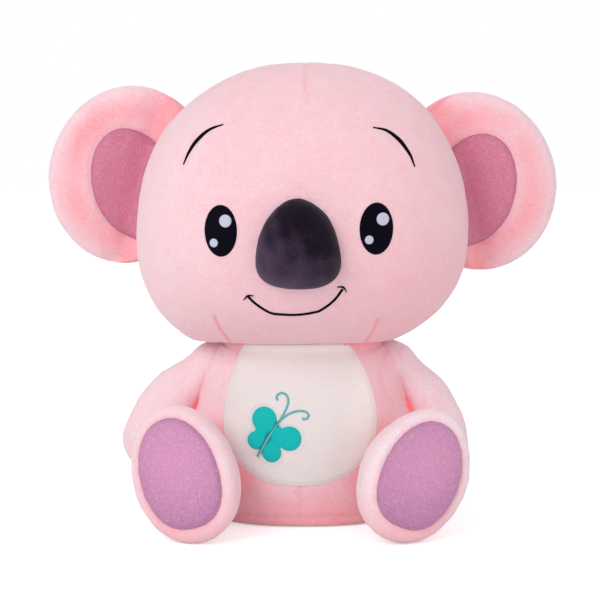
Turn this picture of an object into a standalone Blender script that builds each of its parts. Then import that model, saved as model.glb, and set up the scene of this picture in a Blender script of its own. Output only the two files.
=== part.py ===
"""A seated plush koala with a large turning head, round ears, short arms and padded feet.

Metres, +Z up. The toy sits on the plane Z = 0, faces -Y, and its own left side is +X.
Each cover is a cut and sewn fabric shell, each stuffing a soft block inside it, and each
limb ends in a round root that turns in a pocket of the body it is sewn to.
"""

import math

import bmesh
import bpy
from mathutils import Matrix, Vector

# Fabric and the gaps between neighbours
COVER_THICKNESS = 0.0022
FIT_GAP = 0.0003
ROOT_GAP = 0.0006
POCKET_GAP = 0.0014
STUFFING_GAP = 0.0009
PATCH_THICKNESS = 0.0008
FLOOR_FLAT = 0.0005

# Head: an ovoid, widest below its middle
HEAD_WIDTH = 0.220
HEAD_FRONT_DEPTH = 0.090
HEAD_BACK_DEPTH = 0.082
HEAD_CROWN_RISE = 0.111
HEAD_SIDE_DROP = 0.086
HEAD_CHIN_DROP = 0.076
HEAD_SEAT_DROP = 0.072
# how far the crown and the chin stand off to the toy's left, and how soon they start to
CROWN_SHIFT = 0.0040
CHIN_SHIFT = -0.0096
CROWN_SHIFT_POWER = 4
CHIN_SHIFT_POWER = 2.5
HEAD_ABOVE_NECK = 0.101
HEAD_FORWARD = 0.008
HEAD_REST_TURN = math.radians(1.8)
CROWN_ROUNDNESS = 2.15
SIDE_ROUNDNESS = 2.28
CHIN_ROUNDNESS = 2.0
HEAD_PLAN_ROUNDNESS = 2.15

# Torso: a pear with a flat base and a domed top that the head sits over
TORSO_WIDTH = 0.154
TORSO_DEPTH = 0.130
TORSO_SHOULDER_HEIGHT = 0.1105
TORSO_PLAN_ROUNDNESS = 2.4
NECK_HEIGHT = 0.0875
NECK_DOME_RADIUS = 0.041
DOME_FOOT_SHARE = 0.12
NECK_GAP = 0.0010
NECK_BAND_THICKNESS = 0.0016
NECK_BAND_TOP = math.radians(22)
NECK_BAND_FOOT = math.radians(38)
BASE_PANEL_SHARE = 0.93
# height share, width share, depth share
TORSO_SHARES = (
    (0.0, 0.84, 0.90),
    (0.02, 0.90, 0.95),
    (0.08, 0.955, 0.985),
    (0.20, 0.99, 1.0),
    (0.36, 1.0, 1.0),
    (0.555, 0.965, 0.965),
    (0.74, 0.87, 0.87),
    (0.86, 0.795, 0.775),
    (0.94, 0.735, 0.68),
    (1.0, 0.655, 0.57),
)

# Arms: a round root at the shoulder and a drooping sleeve with a round hand
SHOULDER_OUT = 0.0605
SHOULDER_HEIGHT = 0.0940
SHOULDER_BACK = 0.002
ARM_ROOT_RADIUS = 0.0185
ARM_RADIUS = 0.0195
ARM_DEPTH_RADIUS = 0.0185
LEFT_HAND_OUT = 0.0925
LEFT_HAND_HEIGHT = 0.0440
RIGHT_HAND_OUT = 0.1030
RIGHT_HAND_HEIGHT = 0.0470
ARM_BOW = 0.0045
HAND_FORWARD = 0.006
# share of the way to the hand, radius share
ARM_SHARES = ((0.0, 1.0), (0.16, 0.80), (0.45, 0.93), (0.75, 1.0), (1.0, 0.97))

# Legs: a round root at the hip and a short boot with a large oval sole
HIP_OUT = 0.067
HIP_HEIGHT = 0.031
HIP_FORWARD = 0.047
LEG_ROOT_RADIUS = 0.025
SOLE_FORWARD = 0.100
FOOT_WIDTH = 0.0685
FOOT_HEIGHT = 0.0890
FOOT_SPLAY = math.radians(17)
FOOT_TILT = math.radians(14)
LEFT_SOLE_OUT = 0.0756
LEFT_FOOT_LEAN = math.radians(28)
RIGHT_SOLE_OUT = 0.0792
RIGHT_FOOT_LEAN = math.radians(20)
SOLE_HEIGHT = 0.0455
PAD_WIDTH = 0.054
PAD_HEIGHT = 0.0720
PAD_CUT_REACH = 0.009
# the foot's inner edge is full at the heel and drawn in above it
HEEL_BULGE_SHARE = 0.09
HEEL_TURN = math.radians(48)
INSTEP_CUT_SHARE = 0.08
INSTEP_TURN = math.radians(42)
CORNER_SPREAD = math.radians(34)
FOOT_SHAPE_START_SHARE = 0.35
FOOT_SHAPE_END_SHARE = 0.85
# share of the way to the sole, width share, height share
LEG_SHARES = (
    (0.10, 0.64, 0.50),
    (0.28, 0.565, 0.50),
    (0.47, 0.78, 0.73),
    (0.64, 0.975, 0.95),
    (0.77, 1.0, 1.0),
    (0.88, 0.955, 0.955),
    (0.96, 0.82, 0.845),
    (1.0, 0.60, 0.66),
)

# Ears: thick round pads that fold about their root, with a fabric panel let into the front
EAR_HALF_HEIGHT = 0.0600
EAR_REACH = 0.0535
EAR_CENTRE_OUT = 0.0210
EAR_THICKNESS = 0.024
EAR_EDGE_ROUNDNESS = 2.6
EAR_GROOVE_ROUNDNESS = 6
EAR_GROOVE_GAP = 0.0010
EAR_ROOT_RADIUS = 0.0100
EAR_ROOT_ARC = math.radians(105)
EAR_ROOT_OUT = 0.0975
EAR_ROOT_ABOVE_NECK = 0.1308
EAR_ROOT_BACK = 0.012
EAR_ROOT_TILT = math.radians(15.5)
LEFT_EAR_DROP = 0.0032
LEFT_EAR_INSET = 0.0026
# share of the way from the root to the rim, thickness share
EAR_BLADE_SHARES = (
    (0.0, 0.38), (0.07, 0.39), (0.26, 0.74), (0.45, 1.0), (0.70, 0.93), (0.88, 0.70), (0.97, 0.38),
)
EAR_PANEL_WIDTH = 0.054
EAR_PANEL_HEIGHT = 0.077
EAR_PANEL_OUT = 0.0170
EAR_PANEL_DROP = 0.0050
EAR_PANEL_LEAN = math.radians(16.6)

# Face, as distances from the middle of the head's widest level
NOSE_WIDTH = 0.0543
NOSE_UPPER_HEIGHT = 0.0385
NOSE_LOWER_HEIGHT = 0.0183
NOSE_LOWER_ROUNDNESS = 2.6
NOSE_DOME_ROUNDNESS = 2.4
NOSE_RISE = 0.021
NOSE_BELOW_WIDEST = 0.0104
EYE_SPACING = 0.0985
EYE_WIDTH = 0.0212
EYE_HEIGHT = 0.0318
EYE_CROWN = 0.0006
EYE_ABOVE_WIDEST = 0.0082
GLINT_SIZE = 0.0085
SMALL_GLINT_SIZE = 0.0060
UPPER_GLINT_SHARES = (0.16, 0.185)
LOWER_GLINT_SHARES = (-0.205, -0.22)
MOUTH_WIDTH = 0.0600
MOUTH_OFFSET = 0.0020
MOUTH_DROP = 0.0147
MOUTH_BELOW_WIDEST = 0.0316
MOUTH_ROUNDNESS = 2.2
MOUTH_TILT = math.radians(4.5)
MOUTH_BAR_LENGTH = 0.0070
MOUTH_BAR_EDGE = 0.0001
STITCH_LINE_WIDTH = 0.0020
BROW_INNER_OUT = 0.0460
BROW_OUTER_OUT = 0.0715
BROW_INNER_ABOVE_WIDEST = 0.0715
BROW_OUTER_ABOVE_WIDEST = 0.0467
BROW_BOW = 0.0040
BROW_WIDTH = 0.0026
BROW_END_SHARE = 0.35

# Belly panel and the butterfly sewn on it
BELLY_WIDTH = 0.1000
BELLY_OFFSET = -0.0018
BELLY_FOOT_HEIGHT = 0.0285
BELLY_WIDEST_HEIGHT = 0.0705
BELLY_TAPER_HEIGHT = 0.1371
BELLY_FOOT_ROUNDNESS = 2.3
BELLY_TAPER_ROUNDNESS = 1.8
BUTTERFLY_OUT = 0.0200
BUTTERFLY_HEIGHT = 0.0620
BUTTERFLY_SIZE = 0.0340
BUTTERFLY_BODY_LENGTH = 0.0270
BUTTERFLY_BODY_WIDTH = 0.0034
BUTTERFLY_TURN = math.radians(60)
ANTENNA_WIDTH = 0.0014
BUTTERFLY_HUB_SHARE = 0.13
BUTTERFLY_BODY_SHARES = ((-0.48, 0.35), (-0.3, 0.85), (-0.1, 1.0), (0.1, 1.0), (0.3, 0.9), (0.42, 0.5))
# across, up and radius, as shares of the butterfly's size
BUTTERFLY_LOBE_SHARES = (
    (-0.12, 0.355, 0.215),
    (-0.25, -0.03, 0.16),
    (0.04, -0.22, 0.16),
    (0.345, 0.01, 0.215),
)
UPPER_ANTENNA_SHARES = (
    (0.185, 0.32),
    (0.31, 0.525),
    (0.355, 0.69),
    (0.265, 0.805),
    (0.16, 0.825),
    (0.125, 0.75),
    (0.175, 0.70),
)
LOWER_ANTENNA_SHARES = (
    (0.305, 0.385),
    (0.46, 0.47),
    (0.61, 0.505),
    (0.72, 0.44),
    (0.695, 0.355),
    (0.58, 0.355),
)

# How finely each form is faceted: rings and segments, outside and inside
HEAD_FACETS = (15, 30)
HEAD_INNER_FACETS = (10, 20)
TORSO_FACETS = (13, 28)
TORSO_INNER_FACETS = (9, 18)
ARM_FACETS = (10, 14)
ARM_INNER_FACETS = (8, 10)
LEG_FACETS = (11, 18)
LEG_INNER_FACETS = (8, 12)
EAR_RINGS = 12
EAR_INNER_RINGS = 8
EAR_ROOT_STEPS = 4
POCKET_FACETS = (10, 20)
NECK_FACETS = (14, 28)
PATCH_SEGMENTS = 18
PATCH_RING_SHARES = (1.0, 0.6)
PANEL_SEGMENTS = 28
CURL_POINTS = 13
BUTTERFLY_SEGMENTS = 36
NOSE_RINGS = 5
BROW_POINTS = 7
MOUTH_POINTS = 17

# Colours, linear red, green and blue
PINK = (0.88, 0.50, 0.54)
MAUVE = (0.60, 0.25, 0.40)
CREAM = (0.82, 0.75, 0.73)
BLACK = (0.004, 0.004, 0.012)
NOSE_BROWN = (0.045, 0.026, 0.050)
WHITE = (0.85, 0.86, 0.90)
TEAL = (0.02, 0.46, 0.42)
FIBRE_WHITE = (0.80, 0.80, 0.80)
PLUSH_ROUGHNESS = 0.95
SATIN_ROUGHNESS = 0.45

WIDEST_HEIGHT = NECK_HEIGHT + HEAD_ABOVE_NECK
SIDES = {"left": 1, "right": -1}
NECK_CENTRE = Vector((0, 0, NECK_HEIGHT))
DOME_TOP = NECK_HEIGHT + NECK_DOME_RADIUS


def clear_scene():
    """Takes every object out of the scene."""
    for thing in list(bpy.data.objects):
        bpy.data.objects.remove(thing, do_unlink=True)


def fabric(name, colour, roughness):
    """A Principled material for one fabric."""
    made = bpy.data.materials.new(name)
    made.use_nodes = True
    shader = made.node_tree.nodes["Principled BSDF"]
    shader.inputs["Base Color"].default_value = (*colour, 1)
    shader.inputs["Roughness"].default_value = roughness
    shader.inputs["Metallic"].default_value = 0
    made.diffuse_color = (*colour, 1)
    return made


def place(name, mesh, look=None):
    """A named object around a mesh, shaded smooth."""
    for face in mesh.polygons:
        face.use_smooth = True
    thing = bpy.data.objects.new(name, mesh)
    bpy.context.scene.collection.objects.link(thing)
    if look:
        mesh.materials.append(look)
    return thing


def as_cutter(thing):
    """Marks a helper that only cuts, so that it isn't a piece of the toy."""
    thing.hide_render = True
    thing.display_type = "WIRE"
    return thing


def cut(thing, cutter, operation="DIFFERENCE"):
    """Cuts a piece by another closed mesh, or keeps only what lies inside it."""
    step = thing.modifiers.new(cutter.name, "BOOLEAN")
    step.operation = operation
    step.object = cutter


def closed_mesh(name, rings, first_pole=None, last_pole=None):
    """A closed mesh through rings of points; an end without a pole is a flat face."""
    shape = bmesh.new()
    rows = [[shape.verts.new(point) for point in ring] for ring in rings]
    count = len(rows[0])
    for low, high in zip(rows, rows[1:]):
        for i in range(count):
            j = (i + 1) % count
            shape.faces.new((low[i], low[j], high[j], high[i]))
    for row, pole, turned in ((rows[0], first_pole, True), (rows[-1], last_pole, False)):
        if pole is None:
            shape.faces.new(row[::-1] if turned else row)
            continue
        tip = shape.verts.new(pole)
        for i in range(count):
            pair = (row[i], row[(i + 1) % count])
            shape.faces.new((*pair[::-1], tip) if turned else (*pair, tip))
    bmesh.ops.recalc_face_normals(shape, faces=shape.faces)
    mesh = bpy.data.meshes.new(name)
    shape.to_mesh(mesh)
    shape.free()
    return mesh


def grown(mesh, distance, name):
    """A copy of a mesh with each point moved along its normal."""
    copy = mesh.copy()
    copy.name = name
    for old, new in zip(mesh.vertices, copy.vertices):
        new.co = old.co + old.normal * distance
    return copy


def smooth_between(stations, where):
    """A smooth curve through the stations, each a place followed by its values."""
    places = [station[0] for station in stations]
    last = len(stations) - 1
    k = max(0, min(last - 1, sum(place <= where for place in places) - 1))
    span = places[k + 1] - places[k]
    t = max(0.0, min(1.0, (where - places[k]) / span))
    values = []
    for column in range(1, len(stations[0])):
        here, there = stations[k][column], stations[k + 1][column]
        before, after = stations[max(k - 1, 0)], stations[min(k + 2, last)]
        leave = (there - before[column]) / (places[k + 1] - before[0]) * span
        arrive = (after[column] - here) / (after[0] - places[k]) * span
        values.append(
            here * (2 * t**3 - 3 * t**2 + 1)
            + leave * (t**3 - 2 * t**2 + t)
            + there * (3 * t**2 - 2 * t**3)
            + arrive * (t**3 - t**2)
        )
    return values


def round_share(way, roundness):
    """How wide a rounded form still is, this share of the way to its end."""
    return max(0.0, 1 - min(1.0, abs(way)) ** roundness) ** (1 / roundness)


def signed_power(value, power):
    return math.copysign(abs(value) ** power, value)


def ball(name, centre, radius, facets=POCKET_FACETS):
    """A faceted ball, used as the round root of a limb or as the cutter of its pocket."""
    rings, segments = facets
    rows = []
    for i in range(1, rings):
        turn = math.pi * i / rings
        level = centre + Vector((0, 0, -radius * math.cos(turn)))
        around = radius * math.sin(turn)
        rows.append([level + spoke(around, j / segments) for j in range(segments)])
    return closed_mesh(
        name, rows, centre - Vector((0, 0, radius)), centre + Vector((0, 0, radius))
    )


def spoke(length, share_of_turn):
    turn = math.tau * share_of_turn
    return Vector((length * math.cos(turn), length * math.sin(turn), 0))


def block(name, low, high):
    """A box between two corners."""
    corners = ((low[0], low[1]), (high[0], low[1]), (high[0], high[1]), (low[0], high[1]))
    rows = [[Vector((x, y, z)) for x, y in corners] for z in (low[2], high[2])]
    return closed_mesh(name, rows)


def prism(name, outline, along, reach):
    """An outline pushed both ways along a direction."""
    step = along.normalized() * reach
    return closed_mesh(name, [[p - step for p in outline], [p + step for p in outline]])


def oval(centre, across, up, half_width, half_height, count=PATCH_SEGMENTS):
    """Points of an oval outline in the plane of two directions."""
    points = []
    for i in range(count):
        turn = math.tau * i / count
        points.append(
            centre + across * half_width * math.cos(turn) + up * half_height * math.sin(turn)
        )
    return points


# Surfaces that patches are sewn on
def head_reach(height):
    """Half width, front depth and back depth of the head at a height."""
    rise = height - WIDEST_HEIGHT
    if rise >= 0:
        share = round_share(rise / HEAD_CROWN_RISE, CROWN_ROUNDNESS)
        return HEAD_WIDTH / 2 * share, HEAD_FRONT_DEPTH * share, HEAD_BACK_DEPTH * share
    side = round_share(rise / HEAD_SIDE_DROP, SIDE_ROUNDNESS)
    chin = round_share(rise / HEAD_CHIN_DROP, CHIN_ROUNDNESS)
    return HEAD_WIDTH / 2 * side, HEAD_FRONT_DEPTH * chin, HEAD_BACK_DEPTH * side


def head_shift(height):
    """How far the middle of the head stands to its left at a height."""
    rise = height - WIDEST_HEIGHT
    if rise >= 0:
        return CROWN_SHIFT * (rise / HEAD_CROWN_RISE) ** CROWN_SHIFT_POWER
    return CHIN_SHIFT * (-rise / HEAD_SIDE_DROP) ** CHIN_SHIFT_POWER


def head_ring(height, segments):
    half_width, front, back = head_reach(height)
    shift = head_shift(height)
    power = 2 / HEAD_PLAN_ROUNDNESS
    points = []
    for i in range(segments):
        turn = math.tau * i / segments
        depth = front if math.sin(turn) < 0 else back
        x = half_width * signed_power(math.cos(turn), power) + shift
        y = depth * signed_power(math.sin(turn), power) - HEAD_FORWARD
        points.append(Vector((x, y, height)))
    return points


def head_mesh(name, facets):
    """The head's outer form, from its seat on the body to its crown."""
    rings, segments = facets
    start = -math.asin(HEAD_SEAT_DROP / HEAD_SIDE_DROP)
    rows = []
    for i in range(rings):
        turn = start + (math.pi / 2 - start) * i / rings
        reach = HEAD_CROWN_RISE if turn > 0 else HEAD_SIDE_DROP
        rows.append(head_ring(WIDEST_HEIGHT + reach * math.sin(turn), segments))
    crown = Vector((CROWN_SHIFT, -HEAD_FORWARD, WIDEST_HEIGHT + HEAD_CROWN_RISE))
    return closed_mesh(name, rows, None, crown)


def face_depth(x, z):
    """Y of the front of the head at a place."""
    half_width, front, _ = head_reach(z)
    across = (x - head_shift(z)) / half_width
    return -HEAD_FORWARD - front * round_share(across, HEAD_PLAN_ROUNDNESS)


def torso_reach(height):
    """Half width and half depth of the torso at a height up to its shoulder."""
    width_share, depth_share = smooth_between(TORSO_SHARES, height / TORSO_SHOULDER_HEIGHT)
    return TORSO_WIDTH / 2 * width_share, TORSO_DEPTH / 2 * depth_share


def torso_ring(height, segments):
    if height > TORSO_SHOULDER_HEIGHT:
        rise = height - NECK_HEIGHT
        half_width = half_depth = math.sqrt(max(0, NECK_DOME_RADIUS**2 - rise**2))
        power = 1
    else:
        half_width, half_depth = torso_reach(height)
        power = 2 / TORSO_PLAN_ROUNDNESS
    points = []
    for i in range(segments):
        turn = math.tau * i / segments
        x = half_width * signed_power(math.cos(turn), power)
        y = half_depth * signed_power(math.sin(turn), power)
        points.append(Vector((x, y, height)))
    return points


def torso_mesh(name, facets):
    """The torso's outer form, from its flat base to the dome under the head."""
    rings, segments = facets
    dome_rings = rings // 4
    body_rings = rings - dome_rings
    rows = []
    for i in range(body_rings):
        share = (1 - math.cos(math.pi * i / (body_rings - 1))) / 2
        rows.append(torso_ring(TORSO_SHOULDER_HEIGHT * share, segments))
    shoulder = math.asin((TORSO_SHOULDER_HEIGHT - NECK_HEIGHT) / NECK_DOME_RADIUS)
    for i in range(dome_rings + 1):
        turn = shoulder + (math.pi / 2 - shoulder) * (i + DOME_FOOT_SHARE) / (dome_rings + 1)
        rows.append(torso_ring(NECK_HEIGHT + NECK_DOME_RADIUS * math.sin(turn), segments))
    return closed_mesh(name, rows, None, Vector((0, 0, DOME_TOP)))


def chest_depth(x, z):
    """Y of the front of the torso at a place."""
    half_width, half_depth = torso_reach(z)
    return -half_depth * round_share(x / half_width, TORSO_PLAN_ROUNDNESS)


# Limbs
def bent_spine(start, end, bow, share):
    """A point and a direction on a bowed line between two places."""
    middle = (start + end) / 2 + bow * 2
    point = (
        start * (1 - share) ** 2 + middle * 2 * share * (1 - share) + end * share**2
    )
    way = (middle - start) * (1 - share) + (end - middle) * share
    return point, way.normalized()


def root_rows(centre, way, across, up, radius, segments, steps):
    """Rings of the round root, from just past its pole to just before its widest place."""
    rows = []
    for i in range(1, steps + 1):
        turn = math.pi / 2 * i / (steps + 1)
        level = centre - way * radius * math.cos(turn)
        reach = radius * math.sin(turn)
        rows.append(oval(level, across, up, reach, reach, segments))
    return rows


def arm_parts(side):
    """Shoulder, hand centre and bow of one arm."""
    sign = SIDES[side]
    out = LEFT_HAND_OUT if side == "left" else RIGHT_HAND_OUT
    height = LEFT_HAND_HEIGHT if side == "left" else RIGHT_HAND_HEIGHT
    shoulder = Vector((sign * SHOULDER_OUT, SHOULDER_BACK, SHOULDER_HEIGHT))
    hand = Vector((sign * out, SHOULDER_BACK - HAND_FORWARD, height))
    return shoulder, hand, Vector((sign * ARM_BOW, 0, ARM_BOW))


def arm_mesh(name, side, facets):
    """One arm: round root, bowed sleeve and round hand."""
    rings, segments = facets
    shoulder, hand, bow = arm_parts(side)
    back = Vector((0, 1, 0))
    _, way = bent_spine(shoulder, hand, bow, 0)
    across = back.cross(way)
    root_steps = max(2, rings // 4)
    cap_steps = max(2, rings // 4)
    rows = root_rows(shoulder, way, across, back, ARM_ROOT_RADIUS, segments, root_steps)
    sleeve_steps = rings - root_steps - cap_steps
    for i in range(sleeve_steps):
        share = i / (sleeve_steps - 1)
        point, way = bent_spine(shoulder, hand, bow, share)
        across = back.cross(way)
        fullness = smooth_between(ARM_SHARES, share)[0]
        grow = min(1.0, share / ARM_SHARES[1][0])
        wide = ARM_ROOT_RADIUS + (ARM_RADIUS - ARM_ROOT_RADIUS) * grow
        deep = ARM_ROOT_RADIUS + (ARM_DEPTH_RADIUS - ARM_ROOT_RADIUS) * grow
        rows.append(oval(point, across, back, wide * fullness, deep * fullness, segments))
    fullness = ARM_SHARES[-1][1]
    for i in range(1, cap_steps):
        turn = math.pi / 2 * i / cap_steps
        level = hand + way * ARM_RADIUS * fullness * math.sin(turn)
        left = fullness * math.cos(turn)
        rows.append(oval(level, across, back, ARM_RADIUS * left, ARM_DEPTH_RADIUS * left, segments))
    start_way = bent_spine(shoulder, hand, bow, 0)[1]
    return closed_mesh(
        name, rows, shoulder - start_way * ARM_ROOT_RADIUS, hand + way * ARM_RADIUS * fullness
    )


def sole_frame(side):
    """Centre of the sole, its outward normal, and its leaning across and up directions."""
    sign = SIDES[side]
    out = LEFT_SOLE_OUT if side == "left" else RIGHT_SOLE_OUT
    lean = LEFT_FOOT_LEAN if side == "left" else RIGHT_FOOT_LEAN
    normal = Vector(
        (
            sign * math.sin(FOOT_SPLAY) * math.cos(FOOT_TILT),
            -math.cos(FOOT_SPLAY) * math.cos(FOOT_TILT),
            math.sin(FOOT_TILT),
        )
    )
    level = Vector((0, 0, 1)).cross(normal).normalized()
    upright = normal.cross(level)
    turn = Matrix.Rotation(sign * lean, 3, -normal)
    return Vector((sign * out, -SOLE_FORWARD, SOLE_HEIGHT)), normal, turn @ level, turn @ upright


def foot_share(side, turn):
    """How far the foot's outline stands off a plain oval at a turn round it."""
    share = 1
    for corner, gain in ((-HEEL_TURN, HEEL_BULGE_SHARE), (INSTEP_TURN, -INSTEP_CUT_SHARE)):
        place = math.pi - corner if side == "left" else corner
        off = (turn - place + math.pi) % math.tau - math.pi
        share += gain * math.exp(-((off / CORNER_SPREAD) ** 2))
    return share


def shaped_foot(side, outline, centre, amount=1):
    """An oval outline round its centre, drawn out and in to the foot's shape."""
    shares = [foot_share(side, math.tau * i / len(outline)) for i in range(len(outline))]
    return [centre + (p - centre) * (1 + (share - 1) * amount) for p, share in zip(outline, shares)]


def hip_of(side):
    return Vector((SIDES[side] * HIP_OUT, -HIP_FORWARD, HIP_HEIGHT))


def leg_rows(side, facets, lift):
    """Rings of one leg, raised by a lift that grows from the hip to the sole."""
    rings, segments = facets
    hip = hip_of(side)
    sole, normal, across, upright = sole_frame(side)
    reach = (sole - hip).length
    middle = sole - normal * reach / 2
    bow = middle - (hip + sole) / 2
    root_steps = max(2, rings // 4)
    start_way = bent_spine(hip, sole, bow, 0)[1]
    root_across = upright.cross(start_way).normalized()
    root_up = start_way.cross(root_across)
    rows = root_rows(hip, start_way, root_across, root_up, LEG_ROOT_RADIUS, segments, root_steps)
    boot_steps = rings - root_steps
    first = LEG_SHARES[0][0]
    for i in range(boot_steps):
        way_share = first + (1 - first) * math.sin(math.pi / 2 * i / (boot_steps - 1))
        point, way = bent_spine(hip, sole, bow, way_share)
        row_across = upright.cross(way).normalized()
        row_up = way.cross(row_across)
        width_share, height_share = smooth_between(LEG_SHARES, way_share)
        half_width, half_height = FOOT_WIDTH / 2 * width_share, FOOT_HEIGHT / 2 * height_share
        row = oval(point, row_across, row_up, half_width, half_height, segments)
        span = FOOT_SHAPE_END_SHARE - FOOT_SHAPE_START_SHARE
        amount = min(1, max(0, (way_share - FOOT_SHAPE_START_SHARE) / span))
        row = shaped_foot(side, row, point, amount)
        rise = Vector((0, 0, lift * (way_share - first) / (1 - first)))
        rows.append([p + rise for p in row])
    return rows, hip - start_way * LEG_ROOT_RADIUS, sole + Vector((0, 0, lift))


def leg_mesh(name, side, facets):
    """One leg, with its heel pressed just below the floor so that it can be cut flat there."""
    rows, _, _ = leg_rows(side, LEG_FACETS, 0)
    lowest = min(p.z for row in rows for p in row)
    lift = -lowest - FLOOR_FLAT
    rows, first_pole, last_pole = leg_rows(side, facets, lift)
    return closed_mesh(name, rows, first_pole, last_pole)


# Ears
def ear_frame(side):
    """Middle of the ear's root line, its upward and outward directions."""
    sign = SIDES[side]
    drop = LEFT_EAR_DROP if side == "left" else 0
    middle = Vector((sign * EAR_ROOT_OUT, EAR_ROOT_BACK, NECK_HEIGHT + EAR_ROOT_ABOVE_NECK - drop))
    along = Vector((-sign * math.sin(EAR_ROOT_TILT), 0, math.cos(EAR_ROOT_TILT)))
    outward = Vector((sign * math.cos(EAR_ROOT_TILT), 0, math.sin(EAR_ROOT_TILT)))
    return middle, along, outward


def ear_centre_out(side):
    """How far the middle of the ear's round outline stands outside its root line."""
    return EAR_CENTRE_OUT - (LEFT_EAR_INSET if side == "left" else 0)


def ear_profile(side, level):
    """Section of the ear across its root line: a round root, a thin waist and a full blade."""
    centre_out = ear_centre_out(side)
    way = level / EAR_HALF_HEIGHT
    fade = round_share(way, EAR_EDGE_ROUNDNESS)
    root = EAR_ROOT_RADIUS * fade
    reach = centre_out + EAR_REACH * round_share(way, 2)
    start = max(-root, centre_out - EAR_REACH * round_share(way, 2))
    front = []
    for i in range(1, EAR_ROOT_STEPS):
        turn = EAR_ROOT_ARC * i / (EAR_ROOT_STEPS - 1)
        front.append((start + root * (1 - math.cos(turn)), root * math.sin(turn)))
    waist = start + 2 * root
    for out_share, thickness_share in EAR_BLADE_SHARES:
        out = waist + (reach - waist) * out_share
        front.append((out, EAR_THICKNESS / 2 * fade * thickness_share))
    return [(start, 0.0)] + front + [(reach, 0.0)] + [(a, -t) for a, t in reversed(front)]


def ear_mesh(name, side, rings):
    """One ear: sections stacked along its root line."""
    middle, along, outward = ear_frame(side)
    front = Vector((0, -1, 0))
    rows = []
    for i in range(1, rings):
        level = -EAR_HALF_HEIGHT * math.cos(math.pi * i / rings)
        profile = ear_profile(side, level)
        rows.append([middle + along * level + outward * a + front * t for a, t in profile])
    centre = middle + outward * ear_centre_out(side)
    ends = [centre + along * (end * EAR_HALF_HEIGHT) for end in (-1, 1)]
    return closed_mesh(name, rows, *ends)


def ear_groove(name, side):
    """The rounded groove in the head that one ear's root turns in."""
    middle, along, outward = ear_frame(side)
    front = Vector((0, -1, 0))
    segments = POCKET_FACETS[1]
    half = EAR_HALF_HEIGHT * round_share(ear_centre_out(side) / EAR_REACH, 2) + EAR_GROOVE_GAP
    rows = []
    for i in range(1, EAR_RINGS):
        level = -math.cos(math.pi * i / EAR_RINGS) * half
        radius = (EAR_ROOT_RADIUS + EAR_GROOVE_GAP) * round_share(level / half, EAR_GROOVE_ROUNDNESS)
        rows.append(oval(middle + along * level, outward, front, radius, radius, segments))
    return closed_mesh(name, rows, middle - along * half, middle + along * half)


# Sewn patches
def patch(name, outline, surface, look, lift=FIT_GAP, crown=0.0, middle=None):
    """A thin piece on a surface: its front and back follow the surface under its outline.

    outline is a list of (x, z) round its middle, surface gives Y at (x, z).
    """
    count = len(outline)
    if middle is None:
        middle = (sum(x for x, _ in outline) / count, sum(z for _, z in outline) / count)

    def ring(share, rise):
        points = []
        for x, z in outline:
            px = middle[0] + (x - middle[0]) * share
            pz = middle[1] + (z - middle[1]) * share
            points.append(Vector((px, surface(px, pz) - rise, pz)))
        return points

    rows = [ring(share, lift) for share in reversed(PATCH_RING_SHARES)]
    for share in PATCH_RING_SHARES:
        rows.append(ring(share, lift + PATCH_THICKNESS + crown * round_share(share, 2)))
    poles = [
        Vector((middle[0], surface(*middle) - rise, middle[1]))
        for rise in (lift, lift + PATCH_THICKNESS + crown)
    ]
    return place(name, closed_mesh(name, rows, *poles), look)


def ribbon(name, line, widths, surface, look, lift=FIT_GAP):
    """A stitched line on a surface, through (x, z) points with a width at each."""
    rows = []
    for i, (x, z) in enumerate(line):
        before, after = line[max(i - 1, 0)], line[min(i + 1, len(line) - 1)]
        way = Vector((after[0] - before[0], after[1] - before[1])).normalized()
        row = []
        top = lift + PATCH_THICKNESS
        for side, rise in ((1, lift), (1, top), (-1, top), (-1, lift)):
            px = x - way.y * widths[i] / 2 * side
            pz = z + way.x * widths[i] / 2 * side
            row.append(Vector((px, surface(px, pz) - rise, pz)))
        rows.append(row)
    return place(name, closed_mesh(name, rows), look)


def oval_outline(x, z, half_width, half_height, count=PATCH_SEGMENTS):
    turns = [math.tau * i / count for i in range(count)]
    return [(x + half_width * math.cos(t), z + half_height * math.sin(t)) for t in turns]


clear_scene()
pink_plush = fabric("pink_plush", PINK, PLUSH_ROUGHNESS)
mauve_fabric = fabric("mauve_fabric", MAUVE, PLUSH_ROUGHNESS)
cream_plush = fabric("cream_plush", CREAM, PLUSH_ROUGHNESS)
black_thread = fabric("black_thread", BLACK, SATIN_ROUGHNESS)
nose_velvet = fabric("nose_velvet", NOSE_BROWN, PLUSH_ROUGHNESS)
white_thread = fabric("white_thread", WHITE, SATIN_ROUGHNESS)
teal_satin = fabric("teal_satin", TEAL, SATIN_ROUGHNESS)
fibre_fill = fabric("fibre_fill", FIBRE_WHITE, PLUSH_ROUGHNESS)


def belly_outline(gap, count):
    """Closed (x, z) outline of the belly panel: round below, drawn in above, up to the neck."""
    low, middle = BELLY_FOOT_HEIGHT - gap, BELLY_WIDEST_HEIGHT
    top = TORSO_SHOULDER_HEIGHT
    right = []
    for i in range(1, count):
        z = low + (top - low) * (1 - math.cos(math.pi / 2 * i / (count - 1)))
        if z < middle:
            share = round_share((middle - z) / (middle - low), BELLY_FOOT_ROUNDNESS)
        else:
            share = round_share((z - middle) / (BELLY_TAPER_HEIGHT - middle), BELLY_TAPER_ROUNDNESS)
        right.append(((BELLY_WIDTH / 2 + gap) * share, z))
    right.append((right[-1][0], DOME_TOP + COVER_THICKNESS))
    half = [(0, low)] + right + [(-x, z) for x, z in reversed(right)]
    return [(x + BELLY_OFFSET, z) for x, z in half]


def smooth_line(points, count):
    """Points evenly counted along a smooth curve through the given (x, z) points."""
    stations = [(i, x, z) for i, (x, z) in enumerate(points)]
    last = len(points) - 1
    return [tuple(smooth_between(stations, last * i / (count - 1))) for i in range(count)]


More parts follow.
